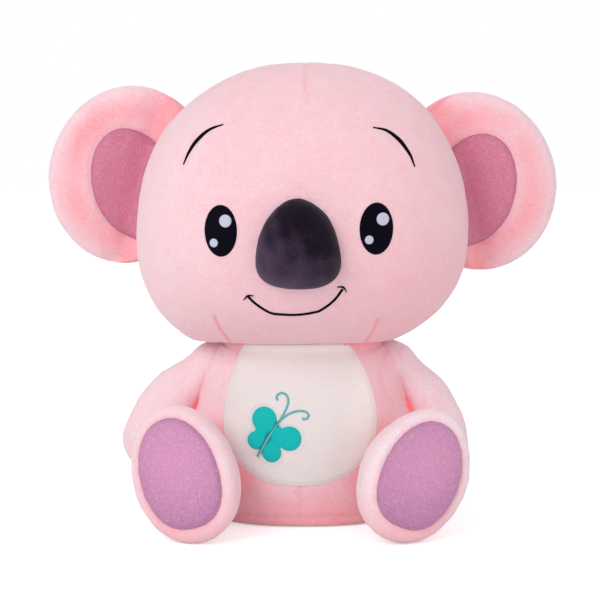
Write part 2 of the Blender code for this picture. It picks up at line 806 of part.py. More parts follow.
def turned_ring(name, profile, segments, centre):
    """A closed ring made by turning a closed (radius, height) profile about Z."""
    shape = bmesh.new()
    rows = []
    for i in range(segments):
        turn = i / segments
        rows.append([shape.verts.new(centre + spoke(r, turn) + Vector((0, 0, z))) for r, z in profile])
    for i, row in enumerate(rows):
        after = rows[(i + 1) % segments]
        for j in range(len(profile)):
            k = (j + 1) % len(profile)
            shape.faces.new((row[j], row[k], after[k], after[j]))
    bmesh.ops.recalc_face_normals(shape, faces=shape.faces)
    mesh = bpy.data.meshes.new(name)
    shape.to_mesh(mesh)
    shape.free()
    return mesh


def axis_empty(name, place_of, parent=None):
    """An empty on a joint's axis, which the moving pieces hang from."""
    empty = bpy.data.objects.new(name, None)
    bpy.context.scene.collection.objects.link(empty)
    empty.location = place_of - (Vector(parent["seat"]) if parent else Vector((0, 0, 0)))
    empty["seat"] = tuple(place_of)
    empty.parent = parent
    return empty


def hang(things, empty):
    """Parents pieces made in place to an empty, without moving them."""
    for thing in things:
        thing.parent = empty
        thing.matrix_parent_inverse = Matrix.Translation(-Vector(empty["seat"]))


# Cutters that several pieces share
def torso_cutters():
    """The torso's inside, the pockets of its limbs, and its surround that trims the limbs."""
    outer = torso_mesh("torso_form", TORSO_FACETS)
    coarse = torso_mesh("torso_inside", TORSO_INNER_FACETS)
    inside = as_cutter(place("torso_inside_cutter", grown(coarse, -COVER_THICKNESS, "torso_inside")))
    around = as_cutter(place("torso_surround", grown(outer, FIT_GAP, "torso_surround")))
    pockets = []
    for side in SIDES:
        roots = (("arm", arm_parts(side)[0], ARM_ROOT_RADIUS), ("hip", hip_of(side), LEG_ROOT_RADIUS))
        for limb, centre, radius in roots:
            pocket, room = f"{side}_{limb}_pocket", f"{side}_{limb}_root_room"
            pockets.append(as_cutter(place(pocket, ball(pocket, centre, radius + POCKET_GAP))))
            cut(around, as_cutter(place(room, ball(room, centre, radius + ROOT_GAP))))
    return outer, coarse, inside, pockets, around


def base_prism(name, gap):
    """The oval of the base panel pushed up and down through the bottom of the torso."""
    wide, deep = (half * BASE_PANEL_SHARE + gap for half in torso_reach(0))
    middle, across, back = Vector((0, 0, 0)), Vector((1, 0, 0)), Vector((0, 1, 0))
    outline = oval(middle, across, back, wide, deep, TORSO_FACETS[1])
    return as_cutter(place(name, prism(name, outline, Vector((0, 0, 1)), 2 * COVER_THICKNESS)))


def belly_prism(name, gap):
    """The belly panel's outline pushed back from in front of the torso to its middle."""
    outline = [Vector((x, -TORSO_DEPTH / 2, z)) for x, z in belly_outline(gap, PATCH_SEGMENTS // 2)]
    reach = (TORSO_DEPTH - FIT_GAP) / 2
    return as_cutter(place(name, prism(name, outline, Vector((0, -1, 0)), reach)))


def make_torso(outer, coarse, inside, pockets):
    """Front, two back panels, belly panel, base panel and stuffing."""
    half = FIT_GAP / 2
    wide, deep, tall = TORSO_WIDTH, TORSO_DEPTH, 2 * TORSO_SHOULDER_HEIGHT
    base_opening = base_prism("base_opening", 0)
    base_edge = base_prism("base_panel_edge", -FIT_GAP)
    belly_opening = belly_prism("belly_opening", half)
    belly_edge = belly_prism("belly_edge", -half)
    regions = {
        "torso_front": block("front_region", (-wide, -deep, -tall), (wide, -half, tall)),
        "torso_back_left": block("back_left_region", (half, half, -tall), (wide, deep, tall)),
        "torso_back_right": block("back_right_region", (-wide, half, -tall), (-half, deep, tall)),
    }
    for name, region in regions.items():
        panel = place(name, outer.copy(), pink_plush)
        cut(panel, as_cutter(place(f"{name}_region", region)), "INTERSECT")
        cut(panel, inside)
        cut(panel, base_opening)
        if name == "torso_front":
            cut(panel, belly_opening)
        for pocket in pockets:
            cut(panel, pocket)
    belly_panel = place("belly_panel", outer.copy(), cream_plush)
    cut(belly_panel, belly_edge, "INTERSECT")
    cut(belly_panel, inside)
    for pocket in pockets:
        cut(belly_panel, pocket)
    base_panel = place("base_panel", outer.copy(), pink_plush)
    cut(base_panel, base_edge, "INTERSECT")
    cut(base_panel, inside)
    fill = grown(coarse, -COVER_THICKNESS - STUFFING_GAP, "body_stuffing")
    stuffing = place("body_stuffing", fill, fibre_fill)
    for pocket in pockets:
        cut(stuffing, pocket)


def make_butterfly():
    """A four lobed appliqué, its stitched body and two curled antennae."""
    x0, z0 = -BUTTERFLY_OUT, BUTTERFLY_HEIGHT
    outline = []
    for i in range(BUTTERFLY_SEGMENTS):
        turn = math.tau * i / BUTTERFLY_SEGMENTS
        way = Vector((math.cos(turn), math.sin(turn)))
        reach = BUTTERFLY_HUB_SHARE
        for lobe_x, lobe_z, radius in BUTTERFLY_LOBE_SHARES:
            lobe = Vector((lobe_x, lobe_z))
            along = lobe.dot(way)
            inside = radius**2 - (lobe.length_squared - along**2)
            if inside > 0:
                reach = max(reach, along + math.sqrt(inside))
        outline.append((x0 + way.x * reach * BUTTERFLY_SIZE, z0 + way.y * reach * BUTTERFLY_SIZE))
    patch("butterfly_wings", outline, chest_depth, teal_satin, middle=(x0, z0))
    way = Vector((math.cos(BUTTERFLY_TURN), math.sin(BUTTERFLY_TURN)))
    line, widths = [], []
    for along, width_share in BUTTERFLY_BODY_SHARES:
        reach = BUTTERFLY_BODY_LENGTH * along
        line.append((x0 + way.x * reach, z0 + way.y * reach))
        widths.append(BUTTERFLY_BODY_WIDTH * width_share)
    above = 2 * FIT_GAP + PATCH_THICKNESS
    ribbon("butterfly_body", line, widths, chest_depth, teal_satin, above)
    for name, shares in (("upper", UPPER_ANTENNA_SHARES), ("lower", LOWER_ANTENNA_SHARES)):
        points = [(x0 + a * BUTTERFLY_SIZE, z0 + b * BUTTERFLY_SIZE) for a, b in shares]
        curl = smooth_line(points, CURL_POINTS)
        widths = [ANTENNA_WIDTH] * CURL_POINTS
        ribbon(f"butterfly_{name}_antenna", curl, widths, chest_depth, teal_satin)


def make_arm(side, around):
    """Sleeve open at its root, and the stuffing inside it."""
    shoulder, hand, bow = arm_parts(side)
    outer = arm_mesh(f"{side}_arm_form", side, ARM_FACETS)
    coarse = arm_mesh(f"{side}_arm_inside", side, ARM_INNER_FACETS)
    inside = as_cutter(place(f"{side}_arm_inside_cutter", grown(coarse, -COVER_THICKNESS, "inside")))
    way = bent_spine(shoulder, hand, bow, 0)[1]
    mouth = ball(f"{side}_arm_mouth", shoulder - way * ARM_ROOT_RADIUS, ARM_ROOT_RADIUS / 2)
    mouth = as_cutter(place(f"{side}_arm_mouth", mouth))
    cover = place(f"{side}_arm_cover", outer, pink_plush)
    cut(cover, inside)
    cut(cover, mouth)
    cut(cover, around)
    fill = grown(coarse, -COVER_THICKNESS - STUFFING_GAP, "stuffing")
    stuffing = place(f"{side}_arm_stuffing", fill, fibre_fill)
    cut(stuffing, around)
    axis = axis_empty(f"{side}_shoulder_axis", shoulder)
    hang([cover, stuffing, inside, mouth], axis)


def make_leg(side, around, floor):
    """Leg cover, sole panel let into it, and stuffing."""
    outer = leg_mesh(f"{side}_leg_form", side, LEG_FACETS)
    coarse = leg_mesh(f"{side}_leg_inside", side, LEG_INNER_FACETS)
    inside = as_cutter(place(f"{side}_leg_inside_cutter", grown(coarse, -COVER_THICKNESS, "inside")))
    sole, normal, across, upright = sole_frame(side)
    cutters = []
    for name, gap in (("opening", 0), ("edge", -FIT_GAP)):
        outline = oval(sole, across, upright, PAD_WIDTH / 2 + gap, PAD_HEIGHT / 2 + gap, PANEL_SEGMENTS)
        outline = shaped_foot(side, outline, sole)
        shape = prism(f"{side}_pad_{name}", outline, normal, PAD_CUT_REACH)
        cutters.append(as_cutter(place(f"{side}_pad_{name}", shape)))
    cover = place(f"{side}_leg_cover", outer, pink_plush)
    for cutter in (inside, cutters[0], around, floor):
        cut(cover, cutter)
    pad = place(f"{side}_foot_pad", outer.copy(), mauve_fabric)
    cut(pad, cutters[1], "INTERSECT")
    cut(pad, inside)
    fill = grown(coarse, -COVER_THICKNESS - STUFFING_GAP, "stuffing")
    stuffing = place(f"{side}_leg_stuffing", fill, fibre_fill)
    cut(stuffing, around)
    axis = axis_empty(f"{side}_hip_axis", hip_of(side))
    hang([cover, pad, stuffing, inside, *cutters], axis)


def make_ear(side, head_axis):
    """Ear cover, fabric panel let into its front, stuffing, and the head's groove for it."""
    middle, _, outward = ear_frame(side)
    outer = ear_mesh(f"{side}_ear_form", side, EAR_RINGS)
    coarse = ear_mesh(f"{side}_ear_inside", side, EAR_INNER_RINGS)
    inside = as_cutter(place(f"{side}_ear_inside_cutter", grown(coarse, -COVER_THICKNESS, "inside")))
    front = Vector((0, -1, 0))
    centre = middle + outward * EAR_PANEL_OUT + front * EAR_THICKNESS - Vector((0, 0, EAR_PANEL_DROP))
    sign = SIDES[side]
    up = Vector((sign * math.sin(EAR_PANEL_LEAN), 0, math.cos(EAR_PANEL_LEAN)))
    across = Vector((sign * math.cos(EAR_PANEL_LEAN), 0, -math.sin(EAR_PANEL_LEAN)))
    cutters = []
    for name, gap in (("opening", 0), ("edge", -FIT_GAP)):
        half_width, half_height = EAR_PANEL_WIDTH / 2 + gap, EAR_PANEL_HEIGHT / 2 + gap
        outline = oval(centre, across, up, half_width, half_height, PANEL_SEGMENTS)
        shape = prism(f"{side}_ear_panel_{name}", outline, front, EAR_THICKNESS)
        cutters.append(as_cutter(place(f"{side}_ear_panel_{name}", shape)))
    cover = place(f"{side}_ear_cover", outer, pink_plush)
    cut(cover, inside)
    cut(cover, cutters[0])
    panel = place(f"{side}_ear_panel", outer.copy(), mauve_fabric)
    cut(panel, cutters[1], "INTERSECT")
    cut(panel, inside)
    fill = grown(coarse, -COVER_THICKNESS - STUFFING_GAP, "stuffing")
    stuffing = place(f"{side}_ear_stuffing", fill, fibre_fill)
    groove = as_cutter(place(f"{side}_ear_groove", ear_groove(f"{side}_ear_groove", side)))
    axis = axis_empty(f"{side}_ear_axis", middle, head_axis)
    hang([cover, panel, stuffing, inside, *cutters], axis)
    return groove


def make_head(grooves, head_axis):
    """Face panel, two back panels and stuffing, hollowed over the neck and at the ears."""
    half = FIT_GAP / 2
    outer = head_mesh("head_form", HEAD_FACETS)
    coarse = head_mesh("head_inside", HEAD_INNER_FACETS)
    inside = as_cutter(place("head_inside_cutter", grown(coarse, -COVER_THICKNESS, "inside")))
    cavity_radius = NECK_DOME_RADIUS + NECK_BAND_THICKNESS + 2 * NECK_GAP
    cavity = as_cutter(place("neck_cavity", ball("neck_cavity", NECK_CENTRE, cavity_radius, NECK_FACETS)))
    reach = HEAD_WIDTH
    high = WIDEST_HEIGHT + reach
    front, back = EAR_ROOT_BACK - half, EAR_ROOT_BACK + half
    regions = {
        "face_panel": block("face_region", (-reach, -reach, 0), (reach, front, high)),
        "head_back_left": block("left_region", (half, back, 0), (reach, reach, high)),
        "head_back_right": block("right_region", (-reach, back, 0), (-half, reach, high)),
    }
    made = [inside, cavity]
    for name, region in regions.items():
        region = as_cutter(place(f"{name}_region", region))
        panel = place(name, outer.copy(), pink_plush)
        cut(panel, region, "INTERSECT")
        cut(panel, inside)
        cut(panel, cavity)
        for groove in grooves:
            cut(panel, groove)
        made += [panel, region]
    fill = grown(coarse, -COVER_THICKNESS - STUFFING_GAP, "stuffing")
    stuffing = place("head_stuffing", fill, fibre_fill)
    cut(stuffing, cavity)
    for groove in grooves:
        cut(stuffing, groove)
    hang([*made, stuffing, *grooves], head_axis)


def make_neck(nod_axis):
    """The gathered band where head and body are sewn together, free to slide between them."""
    inner = NECK_DOME_RADIUS + NECK_GAP
    outer = inner + NECK_BAND_THICKNESS
    turns = [NECK_BAND_TOP + (NECK_BAND_FOOT - NECK_BAND_TOP) * share for share in (0, 0.5, 1)]
    profile = [(outer * math.sin(t), outer * math.cos(t)) for t in turns]
    profile += [(inner * math.sin(t), inner * math.cos(t)) for t in reversed(turns)]
    ring = turned_ring("neck_band", profile, NECK_FACETS[1], NECK_CENTRE)
    hang([place("neck_band", ring, pink_plush)], nod_axis)


def nose_outline(count):
    """The nose from the front as (x, z) round its widest level: a tall round top, a flat foot."""
    points = []
    for i in range(count):
        turn = math.tau * i / count
        across, up = math.cos(turn), math.sin(turn)
        if up >= 0:
            points.append((NOSE_WIDTH / 2 * across, NOSE_UPPER_HEIGHT * up))
            continue
        power = 2 / NOSE_LOWER_ROUNDNESS
        x = NOSE_WIDTH / 2 * signed_power(across, power)
        points.append((x, NOSE_LOWER_HEIGHT * signed_power(up, power)))
    return points


def make_nose():
    """The stuffed velvet nose: a cupped cover with a block of stuffing behind it."""
    egg = nose_outline(PATCH_SEGMENTS)
    z0 = WIDEST_HEIGHT - NOSE_BELOW_WIDEST

    def dome(share, inset, rise):
        ring = []
        for x, z in egg:
            scale = share * (1 - inset / math.hypot(x, z))
            px, pz = x * scale, z0 + z * scale
            lift = FIT_GAP + rise * round_share(share, NOSE_DOME_ROUNDNESS)
            ring.append(Vector((px, face_depth(px, pz) - lift, pz)))
        return ring

    def tip(rise):
        return Vector((0, face_depth(0, z0) - FIT_GAP - rise, z0))

    shares = [math.sin(math.pi / 2 * i / NOSE_RINGS) for i in range(1, NOSE_RINGS + 1)]
    outer = [dome(share, 0, NOSE_RISE) for share in shares]
    inner_rise = NOSE_RISE - COVER_THICKNESS
    inner = [dome(share, COVER_THICKNESS, inner_rise) for share in shares]
    cover = closed_mesh("nose_cover", inner + outer[::-1], tip(inner_rise), tip(NOSE_RISE))
    fill_rise = inner_rise - STUFFING_GAP
    inset = COVER_THICKNESS + STUFFING_GAP
    fill = [dome(share, inset, fill_rise) for share in shares]
    back = [dome(share, inset, 0) for share in shares[::2]]
    stuffing = closed_mesh("nose_stuffing", back + fill[::-1], tip(0), tip(fill_rise))
    return [place("nose_cover", cover, nose_velvet), place("nose_stuffing", stuffing, fibre_fill)]


def make_eye(side):
    """One stitched eye and its two glints."""
    sign = SIDES[side]
    x0, z0 = sign * EYE_SPACING / 2, WIDEST_HEIGHT + EYE_ABOVE_WIDEST
    outline = oval_outline(x0, z0, EYE_WIDTH / 2, EYE_HEIGHT / 2)
    made = [patch(f"{side}_eye", outline, face_depth, black_thread, crown=EYE_CROWN)]
    above = 2 * FIT_GAP + PATCH_THICKNESS + EYE_CROWN
    for name, size, (across, up) in (
        ("upper", GLINT_SIZE, UPPER_GLINT_SHARES),
        ("lower", SMALL_GLINT_SIZE, LOWER_GLINT_SHARES),
    ):
        x, z = x0 + across * EYE_WIDTH, z0 + up * EYE_HEIGHT
        spot = oval_outline(x, z, size / 2, size / 2, PATCH_SEGMENTS // 2)
        made.append(patch(f"{side}_eye_{name}_glint", spot, face_depth, white_thread, lift=above))
    return made


def make_brow(side):
    """One bowed brow, fine at its ends."""
    sign = SIDES[side]
    inner = Vector((sign * BROW_INNER_OUT, WIDEST_HEIGHT + BROW_INNER_ABOVE_WIDEST))
    outer = Vector((sign * BROW_OUTER_OUT, WIDEST_HEIGHT + BROW_OUTER_ABOVE_WIDEST))
    away = Vector(((outer - inner).y, -(outer - inner).x)).normalized() * -sign
    line, widths = [], []
    for i in range(BROW_POINTS):
        share = i / (BROW_POINTS - 1)
        swell = math.sin(math.pi * share)
        line.append(tuple(inner.lerp(outer, share) + away * BROW_BOW * swell))
        widths.append(BROW_WIDTH * (BROW_END_SHARE + (1 - BROW_END_SHARE) * swell))
    return ribbon(f"{side}_brow", line, widths, face_depth, black_thread)


def make_mouth():
    """The smiling mouth line with a short bar across each end."""
    z0 = WIDEST_HEIGHT - MOUTH_BELOW_WIDEST
    half = MOUTH_WIDTH / 2
    bar_end = 1 - STITCH_LINE_WIDTH / half
    line_end = bar_end - MOUTH_BAR_EDGE / half
    inner = [line_end * (2 * i / (MOUTH_POINTS - 1) - 1) for i in range(MOUTH_POINTS)]
    shares = [-1, -bar_end, *inner, bar_end, 1]
    line, widths = [], []
    for i, share in enumerate(shares):
        x = half * share
        z = -MOUTH_DROP * (1 - abs(share) ** MOUTH_ROUNDNESS)
        turned_x = x * math.cos(MOUTH_TILT) - z * math.sin(MOUTH_TILT)
        turned_z = x * math.sin(MOUTH_TILT) + z * math.cos(MOUTH_TILT)
        line.append((turned_x - MOUTH_OFFSET, z0 + turned_z))
        widths.append(MOUTH_BAR_LENGTH if min(i, len(shares) - 1 - i) < 2 else STITCH_LINE_WIDTH)
    return ribbon("mouth", line, widths, face_depth, black_thread)


def make_face():
    """Eyes, brows and mouth."""
    made = [make_mouth()]
    for side in SIDES:
        made += make_eye(side)
        made.append(make_brow(side))
    return made


def build():
    """Makes every piece and hangs the moving ones from their axes."""
    outer, coarse, inside, pockets, around = torso_cutters()
    make_torso(outer, coarse, inside, pockets)
    make_butterfly()
    floor_half = TORSO_WIDTH + SOLE_FORWARD
    floor = block("floor", (-floor_half, -floor_half, -FOOT_HEIGHT), (floor_half, floor_half, 0))
    floor = as_cutter(place("floor", floor))
    for side in SIDES:
        make_arm(side, around)
        make_leg(side, around, floor)
    nod_axis = axis_empty("neck_nod_axis", NECK_CENTRE)
    head_axis = axis_empty("head_turn_axis", NECK_CENTRE, nod_axis)
    make_neck(nod_axis)
    grooves = [make_ear(side, head_axis) for side in SIDES]
    make_head(grooves, head_axis)
    hang(make_nose() + make_face(), head_axis)
    head_axis.rotation_euler.z = -HEAD_REST_TURN


build()
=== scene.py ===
# %% [markdown]
# # A seated plush koala
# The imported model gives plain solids: one for each cover, panel, embroidered patch and block
# of stuffing. This lesson dresses them. Each soft solid is stood for by a finer mesh that
# follows the same sizes, with the seams, the puckers and the pile that the real toy shows.

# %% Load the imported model
import math

import bpy
import numpy as np
from mathutils import Matrix, Vector


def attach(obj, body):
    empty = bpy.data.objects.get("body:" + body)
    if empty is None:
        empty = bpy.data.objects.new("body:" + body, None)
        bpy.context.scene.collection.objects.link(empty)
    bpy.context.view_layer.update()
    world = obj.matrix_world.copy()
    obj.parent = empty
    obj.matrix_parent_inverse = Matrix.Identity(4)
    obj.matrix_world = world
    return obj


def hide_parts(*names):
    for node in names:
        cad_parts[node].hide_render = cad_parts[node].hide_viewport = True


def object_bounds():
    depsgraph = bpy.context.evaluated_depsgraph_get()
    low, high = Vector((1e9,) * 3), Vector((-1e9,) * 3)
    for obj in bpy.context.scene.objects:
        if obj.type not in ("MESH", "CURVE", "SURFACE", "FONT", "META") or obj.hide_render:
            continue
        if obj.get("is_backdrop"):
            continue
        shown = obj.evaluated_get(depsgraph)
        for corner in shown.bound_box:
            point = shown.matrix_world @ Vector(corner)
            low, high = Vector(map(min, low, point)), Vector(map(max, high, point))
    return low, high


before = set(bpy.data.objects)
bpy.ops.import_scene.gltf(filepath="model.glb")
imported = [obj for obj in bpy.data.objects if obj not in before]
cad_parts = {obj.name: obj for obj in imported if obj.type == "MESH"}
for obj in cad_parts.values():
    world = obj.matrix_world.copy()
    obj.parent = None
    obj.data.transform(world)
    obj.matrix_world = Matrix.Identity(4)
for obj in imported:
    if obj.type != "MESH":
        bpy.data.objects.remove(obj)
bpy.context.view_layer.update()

# %% [markdown]
# ## Camera, floor and light
# The toy sits on a plain pale floor, seen from a little above by a camera with a long lens,
# which keeps the big head and the feet in proportion. The light is soft and even, so that
# pale pink fabric keeps its colour: one large lamp from the front left, a weak one from the
# right, and a pale sky that fills the shadows.
# The sky alone could light it, but a toy lit evenly from all sides looks flat, and the one
# strong lamp gives each form a light and a darker side.

# %% Camera
AIM_HEIGHT = 0.150
CAMERA_DISTANCE = 1.30
CAMERA_ELEVATION = math.radians(7)
PHOTO_PIXELS = 600
MIDDLE_PIXEL = (303.0, 286.6)
METRES_PER_PIXEL = 0.00067
SENSOR = 36.0

camera_data = bpy.data.cameras.new("camera")
camera = bpy.data.objects.new("camera", camera_data)
bpy.context.scene.collection.objects.link(camera)
bpy.context.scene.camera = camera
aim = Vector((0, 0, AIM_HEIGHT))
towards_camera = Vector((0, -math.cos(CAMERA_ELEVATION), math.sin(CAMERA_ELEVATION)))
camera.location = aim + towards_camera * CAMERA_DISTANCE
camera.rotation_euler = (aim - camera.location).to_track_quat("-Z", "Y").to_euler()
camera_data.sensor_width = SENSOR
camera_data.lens = SENSOR * CAMERA_DISTANCE / (PHOTO_PIXELS * METRES_PER_PIXEL)
camera_data.shift_x = -(MIDDLE_PIXEL[0] - PHOTO_PIXELS / 2) / PHOTO_PIXELS
camera_data.shift_y = (MIDDLE_PIXEL[1] - PHOTO_PIXELS / 2) / PHOTO_PIXELS
print("lens", round(camera_data.lens, 1), "mm")


# %% Colours and nodes
def linear(code):
    """The linear red, green, blue and alpha of an sRGB hex colour."""
    shares = [int(code[i:i + 2], 16) / 255 for i in (1, 3, 5)]
    return tuple(c / 12.92 if c <= 0.04045 else ((c + 0.055) / 1.055) ** 2.4 for c in shares) + (1.0,)


def add_node(tree, kind, inputs=None, **settings):
    """One node with its settings; an input is given a value or linked from a socket."""
    node = tree.nodes.new(kind)
    for name, value in settings.items():
        setattr(node, name, value)
    for name, value in (inputs or {}).items():
        if isinstance(value, bpy.types.NodeSocket):
            tree.links.new(value, node.inputs[name])
        else:
            node.inputs[name].default_value = value
    return node


def mixed_colour(tree, share, first, second):
    """A colour between two, each given as a hex code or as another node's output."""
    mixer = tree.nodes.new("ShaderNodeMix")
    mixer.data_type = "RGBA"
    tree.links.new(share, mixer.inputs[0])
    for socket, colour in ((mixer.inputs[6], first), (mixer.inputs[7], second)):
        if isinstance(colour, str):
            socket.default_value = linear(colour)
        else:
            tree.links.new(colour, socket)
    return mixer.outputs[2]


def math_node(tree, operation, first, second, clamp=False):
    """One step of arithmetic on two numbers, each a value or another node's output."""
    node = add_node(tree, "ShaderNodeMath", {0: first, 1: second}, operation=operation, use_clamp=clamp)
    return node.outputs[0]


def ranged(tree, value, low, high, to_high, to_low=0.0):
    """A number carried from one range to another, and held at its ends."""
    spans = {"Value": value, "From Min": low, "From Max": high, "To Min": to_low, "To Max": to_high}
    return add_node(tree, "ShaderNodeMapRange", spans).outputs[0]


def seen_directly(tree):
    """1 where the camera sees a surface itself, in a gloss or through glass, and 0 for its light."""
    path = add_node(tree, "ShaderNodeLightPath").outputs
    seen = math_node(tree, "MAXIMUM", path["Is Camera Ray"], path["Is Glossy Ray"])
    return math_node(tree, "MAXIMUM", seen, path["Is Transmission Ray"])


def set_constants(shader, values):
    """Sets the shader's own inputs; a colour is given as a hex code."""
    for name, value in values.items():
        shader.inputs[name].default_value = linear(value) if isinstance(value, str) else value


def new_material(name):
    """An empty node material and its Principled shader, already linked to the output."""
    made = bpy.data.materials.new(name)
    made.use_nodes = True
    tree = made.node_tree
    tree.nodes.clear()
    shader = add_node(tree, "ShaderNodeBsdfPrincipled", {"Metallic": 0.0})
    add_node(tree, "ShaderNodeOutputMaterial", {"Surface": shader.outputs["BSDF"]})
    return made, tree, shader


print("mid grey as linear light:", round(linear("#808080")[0], 3))

# %% Floor, sky and lamps
FLOOR_REACH = 3.0
KEY_POWER = 13.0
KEY_PLACE = (-0.95, -1.35, 1.15)
KEY_SIZE = 1.1
FILL_POWER = 3.5
FILL_PLACE = (1.30, -1.10, 0.55)
FILL_SIZE = 1.2
SKY_STRENGTH = 0.68
FLOOR_GLOW = 0.45

floor_mesh = bpy.data.meshes.new("floor")
corners = [(x * FLOOR_REACH, y * FLOOR_REACH, 0) for x, y in ((-1, -1), (1, -1), (1, 1), (-1, 1))]
floor_mesh.from_pydata(corners, [], [(0, 1, 2, 3)])
floor = bpy.data.objects.new("floor", floor_mesh)
bpy.context.scene.collection.objects.link(floor)
floor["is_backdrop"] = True

paper, tree, shader = new_material("matte_paper_backdrop")
set_constants(shader, {"Base Color": "#F6F6F6", "Roughness": 1.0, "Emission Color": "#FFFFFF"})
bright = math_node(tree, "MULTIPLY", seen_directly(tree), FLOOR_GLOW)
tree.links.new(bright, shader.inputs["Emission Strength"])
floor_mesh.materials.append(paper)

world = bpy.data.worlds.new("pale_studio")
bpy.context.scene.world = world
world.use_nodes = True
tree = world.node_tree
tree.nodes.clear()
level = ranged(tree, seen_directly(tree), 0.0, 1.0, 1.0, SKY_STRENGTH)
sky = add_node(tree, "ShaderNodeBackground", {"Color": (1, 1, 1, 1), "Strength": level})
add_node(tree, "ShaderNodeOutputWorld", {"Surface": sky.outputs[0]})


def lamp(name, place, power, size):
    """A square soft lamp that points at the middle of the toy."""
    data = bpy.data.lights.new(name, "AREA")
    data.energy = power
    data.size = size
    thing = bpy.data.objects.new(name, data)
    thing.location = place
    thing.rotation_euler = (aim - Vector(place)).to_track_quat("-Z", "Y").to_euler()
    bpy.context.scene.collection.objects.link(thing)


lamp("key_lamp", KEY_PLACE, KEY_POWER, KEY_SIZE)
lamp("fill_lamp", FILL_PLACE, FILL_POWER, FILL_SIZE)
print("lamps:", KEY_POWER, "and", FILL_POWER, "W")

# %% [markdown]
# ## Short-pile plush
# The body is cut from knitted plush: polyester yarn knitted into a backing, cut to a pile of
# about 2 mm and brushed down. It has no gloss. What shows is a soft bright edge where the
# pile is seen end on, a faint mottle where it parts, and deeper colour in the creases. A
# sheen layer gives the bright edge, a fine stretched noise drives the bump, and a slow noise
# shifts the colour. A little scattering lets light pass through the tips of the pile. The
# single fibres, about 0.05 mm thick, are too fine to show, so the pile is drawn as tufts. A
# value at each point carries painted light. Above 0 it paints shade, a deeper pink in creases,
# seams and other shaded places, with a painted red glow in the tightest creases. Below 0
# it paints a highlight, a paler pile where the light falls.
# Hair could be grown on the mesh instead. It was left out, because fibres this fine don't show
# at this size and an exported mesh doesn't carry them.

# %% Plush
TUFT = 0.0011
MOTTLE = 0.012
# the value from which a noise counts, where it counts in full, and how deep it then turns
PARTED = (0.35, 0.75, 0.10)
BETWEEN_TUFTS = (0.60, 0.30, 0.26)
# how brightly the deepest painted shade glows: a painted red glow
PAINTED_GLOW = 1.1


def pile_fabric(name, colour, deep, pale, sheen=0.45, tuft=TUFT, depth=0.0006):
    """Brushed pile, deep between the tufts, with painted shade in the creases and painted highlights."""
    made, tree, shader = new_material(name)
    place = add_node(tree, "ShaderNodeTexCoord").outputs["Object"]
    brushed_lay_and_highlight = add_node(tree, "ShaderNodeMapping", {"Vector": place, "Scale": (0.5, 1.0, 1.0)})
    grain = {"Vector": brushed_lay_and_highlight.outputs[0], "Scale": 1 / tuft, "Detail": 3.0, "Roughness": 0.65}
    tufts = add_node(tree, "ShaderNodeTexNoise", grain)
    slow = add_node(tree, "ShaderNodeTexNoise", {"Vector": place, "Scale": 1 / MOTTLE, "Detail": 2.0})
    parted = ranged(tree, slow.outputs[0], *PARTED)
    between = ranged(tree, tufts.outputs[0], *BETWEEN_TUFTS)
    # each point's value paints light: above 0 painted shade, below 0 a painted highlight
    painted_shading = add_node(tree, "ShaderNodeAttribute", attribute_name="painted_shading").outputs["Fac"]
    shade_share = math_node(tree, "MAXIMUM", painted_shading, 0.0)
    total = math_node(tree, "ADD", math_node(tree, "ADD", parted, between), shade_share, clamp=True)
    painted_highlight = math_node(tree, "MULTIPLY", painted_shading, -1.0, clamp=True)
    highlit_colour = mixed_colour(tree, painted_highlight, colour, pale)
    tree.links.new(mixed_colour(tree, total, highlit_colour, deep), shader.inputs["Base Color"])
    # painted glow: the deepest painted shade also shines by emission, as light caught in a crease
    glow_share = math_node(tree, "POWER", shade_share, 3.0)
    painted_glow = math_node(tree, "MULTIPLY", glow_share, PAINTED_GLOW * sheen, clamp=True)
    tree.links.new(painted_glow, shader.inputs["Emission Strength"])
    height = {"Height": tufts.outputs[0], "Strength": 1.0, "Distance": depth}
    raised = add_node(tree, "ShaderNodeBump", height)
    tree.links.new(raised.outputs[0], shader.inputs["Normal"])
    set_constants(shader, {"Emission Color": deep, "Roughness": 0.95, "Specular IOR Level": 0.08,
                           "Sheen Weight": sheen, "Sheen Roughness": 0.5, "Sheen Tint": "#FFF2F4",
                           "Subsurface Weight": 0.25, "Subsurface Radius": (1.0, 0.45, 0.4),
                           "Subsurface Scale": 0.003})
    return made


# each plush: its colour, a deeper colour for the pile between tufts and for painted shade, and a paler
# colour for painted highlights
pink_plush = pile_fabric("knitted_plush_pink", "#F9D3DB", "#FB868F", "#F9ECF2")
cream_plush = pile_fabric("knitted_plush_cream", "#EAE5E3", "#DFCFCF", "#FFF6F2", 0.1, 0.0008, 0.0003)
plum_velvet = pile_fabric("brushed_velvet_plum", "#5B4862", "#140A1A", "#6E5C76", 0.10, 0.0007, 0.0002)
print("plush:", pink_plush.name, cream_plush.name, plum_velvet.name)

# %% [markdown]
# ## Glitter fabric
# The ears' panels and the soles are a flatter mauve fabric with foil flecks pressed into it.
# From a step away the flecks show as fine pale and dull points. A cell pattern with cells of
# about 0.6 mm picks a random few cells and gives each a paler or a duller tint.
# Each fleck could be a tiny mesh, but there are thousands, and each shows as a single point.

# %% Glitter fabric
FLECK = 0.0006
KNIT = 0.0009
KNIT_DEPTH = 0.0004
FEW_CELLS = (0.60, 1.0, 0.60)
KNIT_SHADE = (0.3, 0.7, 0.6)


